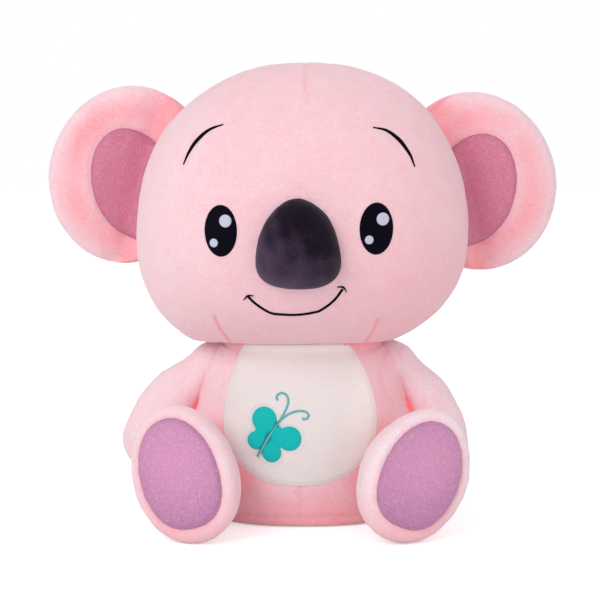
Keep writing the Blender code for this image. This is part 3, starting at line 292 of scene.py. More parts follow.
def fleck_fabric(name, colour, deep, bright_fleck, dull_fleck):
    """Mauve knit with fine foil flecks, some bright and some dull as the light catches them."""
    made, tree, shader = new_material(name)
    place = add_node(tree, "ShaderNodeTexCoord").outputs["Object"]
    cells = add_node(tree, "ShaderNodeTexVoronoi", {"Vector": place, "Scale": 1 / FLECK})
    picked = add_node(tree, "ShaderNodeSeparateColor", {"Color": cells.outputs["Color"]})
    few = ranged(tree, picked.outputs[0], *FEW_CELLS)
    grain = {"Vector": place, "Scale": 1 / KNIT, "Detail": 4.0, "Roughness": 0.7}
    knit = add_node(tree, "ShaderNodeTexNoise", grain)
    shade = ranged(tree, knit.outputs[0], *KNIT_SHADE)
    # painted shade from each point's value darkens the knit; the foil flecks are real, and their bright
    # and dull tints are painted glints
    painted_shading = add_node(tree, "ShaderNodeAttribute", attribute_name="painted_shading").outputs["Fac"]
    base = mixed_colour(tree, math_node(tree, "ADD", shade, painted_shading, clamp=True), colour, deep)
    tint = mixed_colour(tree, picked.outputs[1], bright_fleck, dull_fleck)
    tree.links.new(mixed_colour(tree, few, base, tint), shader.inputs["Base Color"])
    height = {"Height": knit.outputs[0], "Strength": 0.7, "Distance": KNIT_DEPTH}
    raised = add_node(tree, "ShaderNodeBump", height)
    tree.links.new(raised.outputs[0], shader.inputs["Normal"])
    set_constants(shader, {"Roughness": 0.65, "Sheen Weight": 0.3, "Sheen Roughness": 0.4,
                           "Sheen Tint": "#F4D9E8"})
    return made


ear_fabric = fleck_fabric("glitter_knit_rose", "#DC7F9B", "#B85F7F", "#E6B4C8", "#A4808F")
sole_fabric = fleck_fabric("glitter_knit_mauve", "#E298C0", "#B4769F", "#E9C2DC", "#9C88A6")
print("glitter fabric:", ear_fabric.name, sole_fabric.name)

# %% [markdown]
# ## Satin stitch
# The eyes, brows, mouth and butterfly are machine embroidery: rows of shiny polyester thread
# about 0.5 mm thick, laid side by side across the shape. Fine bands drive the bump, and a
# middling roughness gives thread its soft gloss.
# Each thread could be a curve of its own, but at this size only the rows of thread show.

# %% Satin stitch
THREAD = 0.0005
THREAD_DEPTH = 0.0002
# about how long one repeat of a wave pattern of scale 1 is, in metres
WAVE_LENGTH = math.tau / 20


def satin_stitch(name, colour, roughness=0.5, gloss=0.15):
    """Parallel threads laid side by side."""
    made, tree, shader = new_material(name)
    place = add_node(tree, "ShaderNodeTexCoord").outputs["Object"]
    rows = {"Vector": place, "Scale": WAVE_LENGTH / THREAD, "Distortion": 1.5, "Detail": 1.0}
    bands = add_node(tree, "ShaderNodeTexWave", rows, bands_direction="DIAGONAL")
    height = {"Height": bands.outputs["Fac"], "Strength": 0.5, "Distance": THREAD_DEPTH}
    raised = add_node(tree, "ShaderNodeBump", height)
    tree.links.new(raised.outputs[0], shader.inputs["Normal"])
    set_constants(shader, {"Base Color": colour, "Roughness": roughness, "Specular IOR Level": gloss})
    return made


black_thread = satin_stitch("satin_stitch_black", "#03020F", 0.6, 0.05)
white_thread = satin_stitch("satin_stitch_white", "#C6C5DA")
teal_thread = satin_stitch("satin_stitch_teal", "#08BDBA")
deep_teal_thread = satin_stitch("satin_stitch_deep_teal", "#1F8084")
curl_thread = satin_stitch("satin_stitch_curls", "#6DB4BA")
pale_teal_thread = satin_stitch("satin_stitch_pale_teal", "#8CC6C9")
halo_thread = satin_stitch("satin_stitch_halo", "#EEE6EA", 0.6)
print("thread:", black_thread.name, white_thread.name, teal_thread.name, "and four more")

# %% [markdown]
# ## Sizes and helpers
# The sizes below are those of the solids, in metres. A form is a stack of rings: a table
# gives how full it is along its length, and a smooth curve runs through the table. Soft forms
# could also be blown up as cloth or sculpted. Rings were chosen, because they keep the sizes
# of the solids, give the same mesh each run, and let a seam move each point by itself.


# %% Smooth curves
def through(stations, where):
    """Smooth curves through the stations, each a place followed by its values."""
    table = np.array(stations, float)
    places, last = table[:, 0], len(table) - 1
    where = np.asarray(where, float)
    k = np.clip(np.searchsorted(places, where, "right") - 1, 0, last - 1)
    span = places[k + 1] - places[k]
    t = np.clip((where - places[k]) / span, 0, 1)
    before, after = np.maximum(k - 1, 0), np.minimum(k + 2, last)
    values = []
    for column in range(1, table.shape[1]):
        v = table[:, column]
        leave = (v[k + 1] - v[before]) / (places[k + 1] - places[before]) * span
        arrive = (v[after] - v[k]) / (places[after] - places[k]) * span
        values.append(v[k] * (2 * t**3 - 3 * t**2 + 1) + leave * (t**3 - 2 * t**2 + t)
                      + v[k + 1] * (3 * t**2 - 2 * t**3) + arrive * (t**3 - t**2))
    return values


def round_share(way, roundness):
    """How wide a rounded form still is, this share of the way to its end."""
    return np.maximum(0, 1 - np.minimum(1, np.abs(way)) ** roundness) ** (1 / roundness)


def signed_power(value, power):
    """A power of each value's size, with the value's own sign."""
    return np.copysign(np.abs(value) ** power, value)


def step_up(value, low, high):
    """0 below low, 1 above high, and smooth between them."""
    t = np.clip((value - low) / (high - low), 0, 1)
    return t * t * (3 - 2 * t)


print("halfway out, a round form is still", round(float(round_share(0.5, 2)), 3), "of its width")

# %% Slow lumps
WOBBLE_WAVES = 9
WOBBLE_SPREAD = (0.5, 1.3)
WOBBLE_HEIGHT = 4


def wobble(points, size, seed):
    """A smooth uneven value of about -1 to 1 that changes over that size."""
    picker = np.random.default_rng(seed)
    value = np.zeros(len(points))
    for _ in range(WOBBLE_WAVES):
        way = picker.normal(size=3)
        way *= math.tau / size * picker.uniform(*WOBBLE_SPREAD) / np.linalg.norm(way)
        value += np.sin(points @ way + picker.uniform(0, math.tau))
    return value / WOBBLE_HEIGHT


print("waves in a lump:", WOBBLE_WAVES)


# %% Meshes from rings
def new_piece(name, points, faces, look):
    """A mesh object from points and faces."""
    mesh = bpy.data.meshes.new(name)
    mesh.from_pydata(np.asarray(points).tolist(), [], faces)
    mesh.polygons.foreach_set("use_smooth", [True] * len(mesh.polygons))
    mesh.materials.append(look)
    thing = bpy.data.objects.new(name, mesh)
    bpy.context.scene.collection.objects.link(thing)
    return thing


def stacked(name, rows, look, first=None, last=None, around=True):
    """A mesh through a stack of rows of points; a pole closes an end."""
    rows = np.asarray(rows, float)
    count, across = rows.shape[:2]
    index = np.arange(count * across).reshape(count, across)
    right = np.roll(index, -1, axis=1)
    if not around:
        index, right = index[:, :-1], right[:, :-1]
    quads = np.stack([index[:-1], right[:-1], right[1:], index[1:]], axis=-1).reshape(-1, 4).tolist()
    points = rows.reshape(-1, 3).tolist()
    if first is not None:
        points.append(list(first))
        quads += [(int(b), int(a), len(points) - 1) for a, b in zip(index[0], right[0])]
    if last is not None:
        points.append(list(last))
        quads += [(int(a), int(b), len(points) - 1) for a, b in zip(index[-1], right[-1])]
    return new_piece(name, points, quads, look)


def points_of(thing):
    """The points of a mesh object, one in each row."""
    flat = np.empty(len(thing.data.vertices) * 3)
    thing.data.vertices.foreach_get("co", flat)
    return flat.reshape(-1, 3)


def normals_of(thing):
    """The direction in which the surface faces at each point."""
    thing.data.update()
    flat = np.empty(len(thing.data.vertices) * 3, np.float32)
    thing.data.vertex_normals.foreach_get("vector", flat)
    return flat.reshape(-1, 3).astype(float)


def set_points(thing, points):
    """Moves the points of a mesh object."""
    thing.data.vertices.foreach_set("co", np.asarray(points, float).ravel())
    thing.data.update()


def push_out(thing, push):
    """Moves each point the way its surface faces, by its own distance."""
    set_points(thing, points_of(thing) + normals_of(thing) * push[:, None])


def facing_out(thing, centre):
    """Turns the faces round if most of them look towards the centre."""
    outward = normals_of(thing) * (points_of(thing) - np.asarray(centre))
    if outward.sum() < 0:
        thing.data.flip_normals()
        thing.data.update()


def set_painted_shading(thing, values):
    """Paints light at each point: above 0 painted shade, below 0 a painted highlight."""
    mark = thing.data.attributes.new("painted_shading", "FLOAT", "POINT")
    mark.data.foreach_set("value", np.clip(values, -1, 1).astype(np.float32))


# %% Distances and spacing
TINY = 1e-6


def off_path(points, path):
    """Distance of each 2-D point from a path of straight steps."""
    best = np.full(len(points), 1.0)
    for a, b in zip(path[:-1], path[1:]):
        a, b = np.asarray(a, float), np.asarray(b, float)
        t = np.clip(((points - a) @ (b - a)) / max(((b - a) ** 2).sum(), TINY**2), 0, 1)
        best = np.minimum(best, np.linalg.norm(points - a - t[:, None] * (b - a), axis=1))
    return best


def even_places(reach, rise, count):
    """Places along a profile, evenly spaced along its length, as shares of its samples."""
    length = np.concatenate([[0], np.cumsum(np.hypot(np.diff(reach), np.diff(rise)))])
    return np.interp(np.linspace(0, length[-1], count), length, np.linspace(0, 1, len(reach)))


print("a point 0.4 off a line:", off_path(np.array([[3.0, 0.4]]), ((0, 0), (9, 0)))[0])

# %% Seams and filling
SEAM_WIDTH = 0.0016
SEAM_DEPTH = 0.0009
LIGHT_SEAM = SEAM_DEPTH * 0.7
PUCKER = 0.0048
PUCKER_SHARE = 0.2
PUCKER_SPREAD = 2.5
PANEL_SEAM = {"depth": 0.0013, "width": 0.0018}
DIMPLE = 0.00015
DIMPLE_PITCH = 0.010
# how far lumps rise and how long they are on the torso, a limb or ear, the head and the nose
TORSO_LUMPS = {"rise": 0.0005, "lump": 0.045, "pitch": 0.012}
LIMB_LUMPS = {"rise": 0.0004, "lump": 0.030}
HEAD_LUMPS = {"rise": 0.0006, "lump": 0.060, "pitch": 0.014}
NOSE_LUMPS = {"rise": 0.0002, "lump": 0.020, "dimple": 0.0001, "pitch": 0.008}
SEEDS = {"torso": 3, "arm": 11, "leg": 21, "head": 31,
         "ear": 41, "ear_band": 44, "nose": 51, "nose_shade": 53}


def near(distance, reach):
    """1 at a line or an edge, and less with the distance from it."""
    return np.exp(-distance / reach)


def uneven(points, seed, rise, lump, dimple=DIMPLE, pitch=DIMPLE_PITCH):
    """How unevenly the filling bears on the cover: slow lumps, and small dimples on them."""
    return rise * wobble(points, lump, seed) + dimple * wobble(points, pitch, seed + 1)


def seam(distance, along=None, depth=SEAM_DEPTH, width=SEAM_WIDTH):
    """How far a sewn seam pulls the fabric in, with small puckers along it."""
    pulled = -depth * np.exp(-((distance / width) ** 2))
    if along is not None:
        spread = np.exp(-((distance / (PUCKER_SPREAD * width)) ** 2))
        pulled -= depth * PUCKER_SHARE * np.cos(math.tau * along / PUCKER) * spread
    return pulled


print("a seam is", round(1000 * SEAM_DEPTH, 1), "mm deep")


# %% [markdown]
# ## Torso
# The torso is a pear of plush with a flat base. Its front is cut away for the pale belly
# panel, and seams run up its sides, down the middle of the back and below the panel. Near
# the shoulders the cover swells to meet the arms, as fabric does that is sewn to a sleeve.
# One closed mesh stands for the whole cover. Its panels could be meshes of their own, but
# they are of one plush, so a groove with puckers shows each seam just as well.

# %% Torso sizes
TORSO_WIDTH = 0.154
TORSO_DEPTH = 0.130
TORSO_SHOULDER_HEIGHT = 0.1105
TORSO_ROUNDNESS = 2.4
NECK_HEIGHT = 0.0875
NECK_DOME_RADIUS = 0.041
TORSO_SHARES = ((0.0, 0.84, 0.90), (0.02, 0.90, 0.95), (0.08, 0.955, 0.985), (0.20, 0.99, 1.0),
                (0.36, 1.0, 1.0), (0.555, 0.965, 0.965), (0.74, 0.87, 0.87), (0.86, 0.795, 0.775),
                (0.94, 0.735, 0.68), (1.0, 0.655, 0.57))
NECK_BLEND = (0.1160, 0.1187)
BELLY_WIDTH = 0.1000
BELLY_OFFSET = -0.0018
BELLY_FOOT = 0.0285
BELLY_WIDEST = 0.0705
BELLY_TAPER = 0.1371
BELLY_TOP = 0.121
BELLY_LEAN = 0.0030
BELLY_ROUNDNESS = {"below": 2.3, "above": 1.8}
BELLY_EDGE_POINTS = 120
TORSO_TOP = 0.128
TORSO_CORE = (0, 0, 0.06)
print("torso", round(1000 * TORSO_WIDTH), "by", round(1000 * TORSO_DEPTH), "mm")


# %% Torso form
def torso_reach(z):
    """Half width, half depth and corner power of the torso at each height."""
    z = np.asarray(z, float)
    wide, deep = through(TORSO_SHARES, np.minimum(1, z / TORSO_SHOULDER_HEIGHT))
    circle = np.sqrt(np.maximum(0, NECK_DOME_RADIUS**2 - (z - NECK_HEIGHT) ** 2))
    dome = step_up(z, *NECK_BLEND)
    half_width = TORSO_WIDTH / 2 * wide * (1 - dome) + circle * dome
    half_depth = TORSO_DEPTH / 2 * deep * (1 - dome) + circle * dome
    return half_width, half_depth, TORSO_ROUNDNESS * (1 - dome) + 2 * dome


def chest_point(x, z):
    """Points on the front of the torso."""
    half_width, half_depth, power = torso_reach(z)
    share = np.maximum(0, 1 - np.minimum(1, np.abs(x) / half_width) ** power) ** (1 / power)
    return np.stack([x, -half_depth * share, z], axis=-1)


def outside_torso(points):
    """Roughly how far each point lies outside the torso; less than 0 is inside."""
    half_width, half_depth, power = torso_reach(np.clip(points[:, 2], 0, TORSO_TOP))
    share = ((np.abs(points[:, 0]) / half_width) ** power + (np.abs(points[:, 1]) / half_depth) ** power)
    share = share ** (1 / power)
    return (1 - 1 / np.maximum(share, 0.05)) * np.linalg.norm(points[:, :2], axis=1)


def belly_half_width(z):
    """Half the width of the belly panel at each height."""
    below = round_share((BELLY_WIDEST - z) / (BELLY_WIDEST - BELLY_FOOT), BELLY_ROUNDNESS["below"])
    above = round_share((z - BELLY_WIDEST) / (BELLY_TAPER - BELLY_WIDEST), BELLY_ROUNDNESS["above"])
    return BELLY_WIDTH / 2 * np.where(z < BELLY_WIDEST, below, above)


def belly_middle(z):
    """The middle of the panel, which leans a little towards the top."""
    return BELLY_OFFSET - BELLY_LEAN * max(0.0, (z - BELLY_WIDEST) / (BELLY_TOP - BELLY_WIDEST)) ** 2


edge_turns = np.linspace(0, math.pi / 2, BELLY_EDGE_POINTS)
belly_heights = BELLY_FOOT + (BELLY_TOP - BELLY_FOOT) * (1 - np.cos(edge_turns))
belly_edge = [(belly_middle(z) + belly_half_width(z), z) for z in belly_heights[::-1]]
belly_edge += [(belly_middle(z) - belly_half_width(z), z) for z in belly_heights]
print("belly panel", round(1000 * BELLY_WIDTH), "mm wide")

# %% Arm sizes
SHOULDER = (0.0605, 0.002, 0.0940)
ARM_ROOT_RADIUS = 0.0185
ARM_RADIUS = 0.0195
ARM_DEPTH_RADIUS = 0.0185
HANDS = {"left": (0.0925, -0.004, 0.0440), "right": (-0.1030, -0.004, 0.0470)}
ARM_BOW = 0.0045
ARM_SHARES = ((0.0, 1.0), (0.16, 0.80), (0.45, 0.93), (0.75, 1.0), (1.0, 0.97))
SIDES = {"left": 1, "right": -1}
ARM_SAMPLES = 40
SHOULDER_SWELL = 0.020
SWELL_HEIGHTS = (0.070, 0.090)
SHOULDER_HEIGHTS = (0.082, 0.100)


def bent(start, end, bow, share):
    """Points and directions along a bowed line."""
    start, end, bow = (np.asarray(v, float) for v in (start, end, bow))
    middle = (start + end) / 2 + bow * 2
    share = np.asarray(share, float)[..., None]
    point = start * (1 - share) ** 2 + middle * 2 * share * (1 - share) + end * share**2
    way = (middle - start) * (1 - share) + (end - middle) * share
    return point, way / np.linalg.norm(way, axis=-1, keepdims=True)


def oval(across, rise, turns):
    """Points round an oval, from arrows that are its half width and its half height."""
    return across * np.cos(turns)[:, None] + rise * np.sin(turns)[:, None]


def arm_line(side):
    """Shoulder, hand and bow of one arm."""
    sign = SIDES[side]
    return (sign * SHOULDER[0], SHOULDER[1], SHOULDER[2]), HANDS[side], (sign * ARM_BOW, 0, ARM_BOW)


def arm_radii(share):
    """Half width and half depth of an arm, this share of the way to its hand."""
    full = through(ARM_SHARES, share)[0]
    grow = np.minimum(1, share / ARM_SHARES[1][0])
    wide = (ARM_ROOT_RADIUS + (ARM_RADIUS - ARM_ROOT_RADIUS) * grow) * full
    deep = (ARM_ROOT_RADIUS + (ARM_DEPTH_RADIUS - ARM_ROOT_RADIUS) * grow) * full
    return wide, deep


def outside_arm(points, side):
    """Roughly how far each point lies outside one arm."""
    shares = np.linspace(0, 1, ARM_SAMPLES)
    centres, _ = bent(*arm_line(side), shares)
    wide, deep = arm_radii(shares)
    radii = (wide + deep) / 2
    best = np.full(len(points), 1.0)
    for centre, radius in zip(centres, radii):
        best = np.minimum(best, np.linalg.norm(points - centre, axis=1) - radius)
    return best


def swell(distance, points):
    """How far two sewn forms rise to meet each other at the shoulder, by their distance."""
    close = np.clip(1 - np.abs(distance) / SHOULDER_SWELL, 0, 1)
    return close**2 * SHOULDER_SWELL / 4 * step_up(points[:, 2], *SWELL_HEIGHTS)


print("right arm", round(1000 * math.dist(*arm_line("right")[:2])), "mm long")

# %% Leg sizes
HIP = (0.067, -0.047, 0.031)
LEG_ROOT_RADIUS = 0.025
SOLES = {"left": (0.0756, -0.100, 0.0455), "right": (-0.0792, -0.100, 0.0455)}
FOOT_WIDTH = 0.0685
FOOT_HEIGHT = 0.0890
FOOT_SPLAY = math.radians(17)
FOOT_TILT = math.radians(14)
FOOT_LEANS = {"left": math.radians(28), "right": math.radians(20)}
PAD_WIDTH = 0.054
PAD_HEIGHT = 0.0720
PAD_ROUNDNESS = 2.2
FLOOR_FLAT = 0.0005
LEG_SHARES = ((0.10, 0.64, 0.50), (0.28, 0.565, 0.50), (0.47, 0.78, 0.73), (0.64, 0.975, 0.95),
              (0.77, 1.0, 1.0))
CAP_START = 0.77
CAP_END = 1.02
CAP_ROUNDNESS = 3.0
HEEL_BULGE = 0.09
HEEL_TURN = math.radians(48)
INSTEP_CUT = 0.08
INSTEP_TURN = math.radians(42)
CORNER_SPREAD = math.radians(34)
SHAPED_FROM = 0.35
SHAPED_OVER = 0.5
print("foot", round(1000 * FOOT_WIDTH, 1), "by", round(1000 * FOOT_HEIGHT), "mm")


# %% Leg form
def leg_frame(side):
    """Hip, sole, bow, and the leaning across and up directions of the sole."""
    sign = SIDES[side]
    normal = np.array([sign * math.sin(FOOT_SPLAY) * math.cos(FOOT_TILT),
                       -math.cos(FOOT_SPLAY) * math.cos(FOOT_TILT), math.sin(FOOT_TILT)])
    level = np.cross([0, 0, 1], normal)
    level /= np.linalg.norm(level)
    lean = np.array(Matrix.Rotation(sign * FOOT_LEANS[side], 3, Vector(-normal)))
    across, up = lean @ level, lean @ np.cross(normal, level)
    hip, sole = np.array([sign * HIP[0], HIP[1], HIP[2]]), np.array(SOLES[side])
    bow = sole - normal * np.linalg.norm(sole - hip) / 2 - (hip + sole) / 2
    return hip, sole, bow, up


def leg_line(side):
    """Hip, sole and bow of one leg."""
    return leg_frame(side)[:3]


def foot_share(side, turns):
    """How far the foot's outline stands off a plain oval: full at the heel, drawn in above it."""
    share = np.ones(len(turns))
    for corner, gain in ((-HEEL_TURN, HEEL_BULGE), (INSTEP_TURN, -INSTEP_CUT)):
        place = math.pi - corner if side == "left" else corner
        off = (turns - place + math.pi) % math.tau - math.pi
        share += gain * np.exp(-((off / CORNER_SPREAD) ** 2))
    return share


def boot_ring(side, share, turns, radial=1.0):
    """A ring of the boot: share of the way to the sole, and radial for a ring on its cap."""
    hip, sole, bow, up = leg_frame(side)
    point, way = bent(hip, sole, bow, np.minimum(share, 1.0))
    point = point + way * np.maximum(share - 1.0, 0) * np.linalg.norm(sole - hip)
    across = np.cross(up, way)
    across /= np.linalg.norm(across)
    rise = np.cross(way, across)
    wide, high = through(LEG_SHARES, share) if share < CAP_START else (radial, radial)
    full = 1 + (foot_share(side, turns) - 1) * np.clip((share - SHAPED_FROM) / SHAPED_OVER, 0, 1)
    ring = oval(across * FOOT_WIDTH / 2 * wide, rise * FOOT_HEIGHT / 2 * high, turns)
    return point + ring * full[:, None]


def cap_share(radial):
    """How far towards the sole the cap has come where it is this wide."""
    return CAP_START + (CAP_END - CAP_START) * float(round_share(radial, CAP_ROUNDNESS))


def rim_share(turns):
    """Where the sole panel's edge lies, as a share of the boot's own reach."""
    across = np.abs(np.cos(turns) * FOOT_WIDTH / PAD_WIDTH) ** PAD_ROUNDNESS
    along = np.abs(np.sin(turns) * FOOT_HEIGHT / PAD_HEIGHT) ** PAD_ROUNDNESS
    return (across + along) ** (-1 / PAD_ROUNDNESS)


print("outer rim of a sole at", round(float(rim_share(np.array([0.0]))[0]), 2), "of the foot's reach")

# %% Torso mesh
TORSO_ROWS = 170
TORSO_COLUMNS = 400
HEIGHT_SAMPLES = 3000
UNDER_SHARES = (0.25, 0.5, 0.75, 0.9, 0.97)
BASE_SEAM_HEIGHT = 0.0072
BASE_SEAM_DEPTH = SEAM_DEPTH * 0.9
FRONT_SEAM_TOP = 0.031
FRONT_SEAM_OUT = -0.002
FRONT_CREASE_TOP = BELLY_FOOT + 0.002
BELLY_SEAM = {"depth": 0.0005, "width": 0.0012}
FLOOR_FADE = (0.0005, 0.006)
TORSO_LIFT = 0.0006

samples = np.linspace(0, NECK_HEIGHT + NECK_DOME_RADIUS * 0.999, HEIGHT_SAMPLES)
places = even_places(torso_reach(samples)[0], samples, TORSO_ROWS)
heights = np.interp(places, np.linspace(0, 1, len(samples)), samples)
turns = np.linspace(0, math.tau, TORSO_COLUMNS, endpoint=False)
torso_rows = []
for z in heights:
    half_width, half_depth, power = torso_reach(z)
    torso_rows.append(np.stack([half_width * signed_power(np.cos(turns), 2 / power),
                                half_depth * signed_power(np.sin(turns), 2 / power),
                                np.full(len(turns), z)], axis=-1))
under = [torso_rows[0] * np.array([share, share, 1]) for share in UNDER_SHARES]
torso = stacked("torso_cover", under + torso_rows, pink_plush, first=(0, 0, 0),
                last=(0, 0, NECK_HEIGHT + NECK_DOME_RADIUS))
facing_out(torso, TORSO_CORE)


def torso_uneven(points):
    """The torso's stuffing is a little uneven."""
    return uneven(points, SEEDS["torso"], **TORSO_LUMPS)


ARM_SEAM = ((0.0530, 0.1170), (0.0520, 0.1050), (0.0515, 0.0975), (0.0543, 0.0855),
            (0.0615, 0.0770), (0.0670, 0.0690))
ARM_SEAM_DEPTHS = {"left": 0.0008, "right": 0.0004}


def torso_push(points):
    """How far the torso's cover stands out of its plain form at each point."""
    x, y, z = points.T
    push = seam(np.where(y > 0, np.abs(x), 1), z) + seam(np.abs(y), z, LIGHT_SEAM)
    push += seam(np.where((y < 0) & (z < FRONT_SEAM_TOP), np.abs(x - FRONT_SEAM_OUT), 1), z)
    push += seam(np.abs(z - BASE_SEAM_HEIGHT), x + y, BASE_SEAM_DEPTH)
    push += np.where(y < 0, seam(off_path(points[:, [0, 2]], belly_edge), **BELLY_SEAM), 0)
    push += torso_uneven(points)
    for side, sign in SIDES.items():
        off_seam = off_path(points[:, [0, 2]] * np.array([sign, 1]), ARM_SEAM)
        push += np.where(y < 0, seam(off_seam, z, ARM_SEAM_DEPTHS[side]), 0)
        off_arm = outside_arm(points, side)
        push += swell(off_arm, points) + seam(off_arm, z, LIGHT_SEAM)
    return push * step_up(z, *FLOOR_FADE)


points = points_of(torso)
pushed = points + normals_of(torso) * torso_push(points)[:, None]
pushed[:, 2] = np.maximum(pushed[:, 2], TORSO_LIFT)
set_points(torso, pushed)
print("torso:", len(torso_rows), "rings of", TORSO_COLUMNS, "points")

# %% Torso colour: painted shade and painted highlight
# painted shade, a deeper pink where shade falls: round the armpits and thighs, along the seams, near the
# floor and under the chin; the armpits also get the painted glow
ARMPIT_SHADE = 1.2
ARMPIT_REACH = 0.004
ARMPIT_WIDE_SHADE = {"left": 0.45, "right": 0.2}
WIDE_SHADE_REACH = 0.014
ARM_SEAM_SHADES = {"left": 0.2, "right": 0.1}
ARM_SEAM_REACH = 0.002
THIGH_SHADE = 0.8
THIGH_REACH = 0.012
THIGH_SAMPLES = 20
FLOOR_SHADE = 0.45
FLOOR_HEIGHTS = (0.004, 0.034)
UNDER_CHIN_SHADE = 0.80
CHIN_HEIGHTS = (0.106, 0.119)
BASE_SEAM_SHADE = 0.5
FRONT_SEAM_SHADE = 0.45
SEAM_REACH = 0.0010
# painted highlight, paler on the toy's right side, which faces the lamp
TORSO_HIGHLIGHT = 0.35
TORSO_HIGHLIGHT_PLACES = (0.030, 0.055)
TORSO_HIGHLIGHT_HEIGHTS = (0.055, 0.085)
TORSO_SHADE_GAIN = 0.8

x, y, z = points.T
# painted shade in the creases, at the seams, near the floor and under the chin
crease_shade = np.zeros(len(points))
for side, sign in SIDES.items():
    off_arm = np.abs(outside_arm(points, side))
    armpit = np.maximum(ARMPIT_SHADE * near(off_arm, ARMPIT_REACH),
                        ARMPIT_WIDE_SHADE[side] * near(off_arm, WIDE_SHADE_REACH))
    crease_shade = np.maximum(crease_shade, armpit * (1 - step_up(z, *SHOULDER_HEIGHTS)))
    off_seam = off_path(points[:, [0, 2]] * np.array([sign, 1]), ARM_SEAM)
    crease_shade = np.maximum(crease_shade, np.where(y < 0, ARM_SEAM_SHADES[side] * near(off_seam, ARM_SEAM_REACH), 0))
    thigh = bent(*leg_line(side), np.linspace(0, 1, THIGH_SAMPLES))[0]
    off_leg = np.min([np.linalg.norm(points - p, axis=1) for p in thigh], axis=0) - LEG_ROOT_RADIUS
    crease_shade = np.maximum(crease_shade, THIGH_SHADE * near(np.maximum(off_leg, 0), THIGH_REACH))
crease_shade = np.maximum(crease_shade, FLOOR_SHADE * (1 - step_up(z, *FLOOR_HEIGHTS)))
crease_shade = np.maximum(crease_shade, UNDER_CHIN_SHADE * step_up(z, *CHIN_HEIGHTS))
crease_shade = np.maximum(crease_shade, BASE_SEAM_SHADE * near(np.abs(z - BASE_SEAM_HEIGHT), SEAM_REACH))
front_seam = FRONT_SEAM_SHADE * near(np.abs(x - FRONT_SEAM_OUT), SEAM_REACH)
crease_shade = np.maximum(crease_shade, np.where((y < 0) & (z < FRONT_CREASE_TOP), front_seam, 0))
# painted highlight on the toy's right side, which faces the lamp
pale = TORSO_HIGHLIGHT * step_up(-x, *TORSO_HIGHLIGHT_PLACES) * step_up(z, *TORSO_HIGHLIGHT_HEIGHTS)
set_painted_shading(torso, TORSO_SHADE_GAIN * crease_shade - pale * (1 - np.minimum(1, crease_shade)))
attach(torso, "torso")
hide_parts("torso_front", "torso_back_left", "torso_back_right", "body_stuffing")
print("torso cover:", len(torso.data.polygons), "faces")

# %% [markdown]
# ## Base panel and belly panel
# The base is one oval of plush sewn in flat. The belly panel is a paler plush that is let
# into the front: its edge is pulled down into the seam and its middle is puffed up.
# Both could be coloured parts of the torso's mesh. They are meshes of their own, so that
# each has its own fabric and a crisp edge where it goes into the seam.

# %% Base panel
# the innermost ring of a filled oval, as a share of its outermost
INNERMOST = 0.03
BASE_SHARE = 0.93
BASE_LIFT = 0.0006
BASE_COLUMNS = 160
BASE_ROWS = 30

oval_turns = np.linspace(0, math.tau, BASE_COLUMNS, endpoint=False)
base_half_width = TORSO_WIDTH / 2 * TORSO_SHARES[0][1] * BASE_SHARE
base_half_depth = TORSO_DEPTH / 2 * TORSO_SHARES[0][2] * BASE_SHARE
base_rows = []
for share in np.linspace(2 * INNERMOST, 1, BASE_ROWS):
    lift = BASE_LIFT * step_up(share, 0.96, 1.0)
    base_rows.append(np.stack([base_half_width * share * np.cos(oval_turns),
                               base_half_depth * share * np.sin(oval_turns),
                               np.full(len(oval_turns), lift)], axis=-1))
base = stacked("base_cover", base_rows, pink_plush, first=(0, 0, 0))
facing_out(base, TORSO_CORE)
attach(base, "torso")
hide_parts("base_panel")
print("base panel:", len(base.data.polygons), "faces")

# %% Belly panel
SLOPE_STEP = 0.0004


def surface_normals(point_at, x, z):
    """Outward normals of a front surface, from its slope each way."""
    across = point_at(x + SLOPE_STEP, z) - point_at(x - SLOPE_STEP, z)
    up = point_at(x, z + SLOPE_STEP) - point_at(x, z - SLOPE_STEP)
    normal = np.cross(across, up)
    return normal / np.linalg.norm(normal, axis=-1, keepdims=True)


BELLY_PUFF = 0.0006
BELLY_SINK = 0.0002
BELLY_EDGE = 0.0040
BELLY_ROWS = 130
BELLY_COLUMNS = 150
# painted shade at the panel's seam; painted highlight, paler towards the toy's left side and at the top
# under the chin
BELLY_EDGE_SHADE = 0.15
BELLY_EDGE_REACH = 0.0015
BELLY_HIGHLIGHT_SIDE = 0.8
BELLY_HIGHLIGHT_PLACES = (0.020, 0.046)
BELLY_HIGHLIGHT_TOP = 0.7
BELLY_HIGHLIGHT_HEIGHTS = (0.100, 0.118)

panel_rows = []
rising = 1 - np.cos(np.linspace(0.02, math.pi / 2, BELLY_ROWS))
across = np.sin(np.linspace(-math.pi / 2, math.pi / 2, BELLY_COLUMNS))
for z in BELLY_FOOT + (BELLY_TOP - BELLY_FOOT) * rising:
    out = belly_middle(z) + belly_half_width(z) * across
    panel_rows.append(np.stack([out, np.full(BELLY_COLUMNS, z)], axis=-1))
flat = np.array(panel_rows)
x, z = flat[..., 0], flat[..., 1]
edge_distance = off_path(flat.reshape(-1, 2), belly_edge).reshape(x.shape)
lift = -BELLY_SINK + (BELLY_PUFF + BELLY_SINK) * step_up(edge_distance, 0.0, BELLY_EDGE)
lift += torso_uneven(chest_point(x, z).reshape(-1, 3)).reshape(x.shape)
belly = stacked("belly_cover", chest_point(x, z) + surface_normals(chest_point, x, z) * lift[..., None],
                cream_plush, around=False)
facing_out(belly, TORSO_CORE)
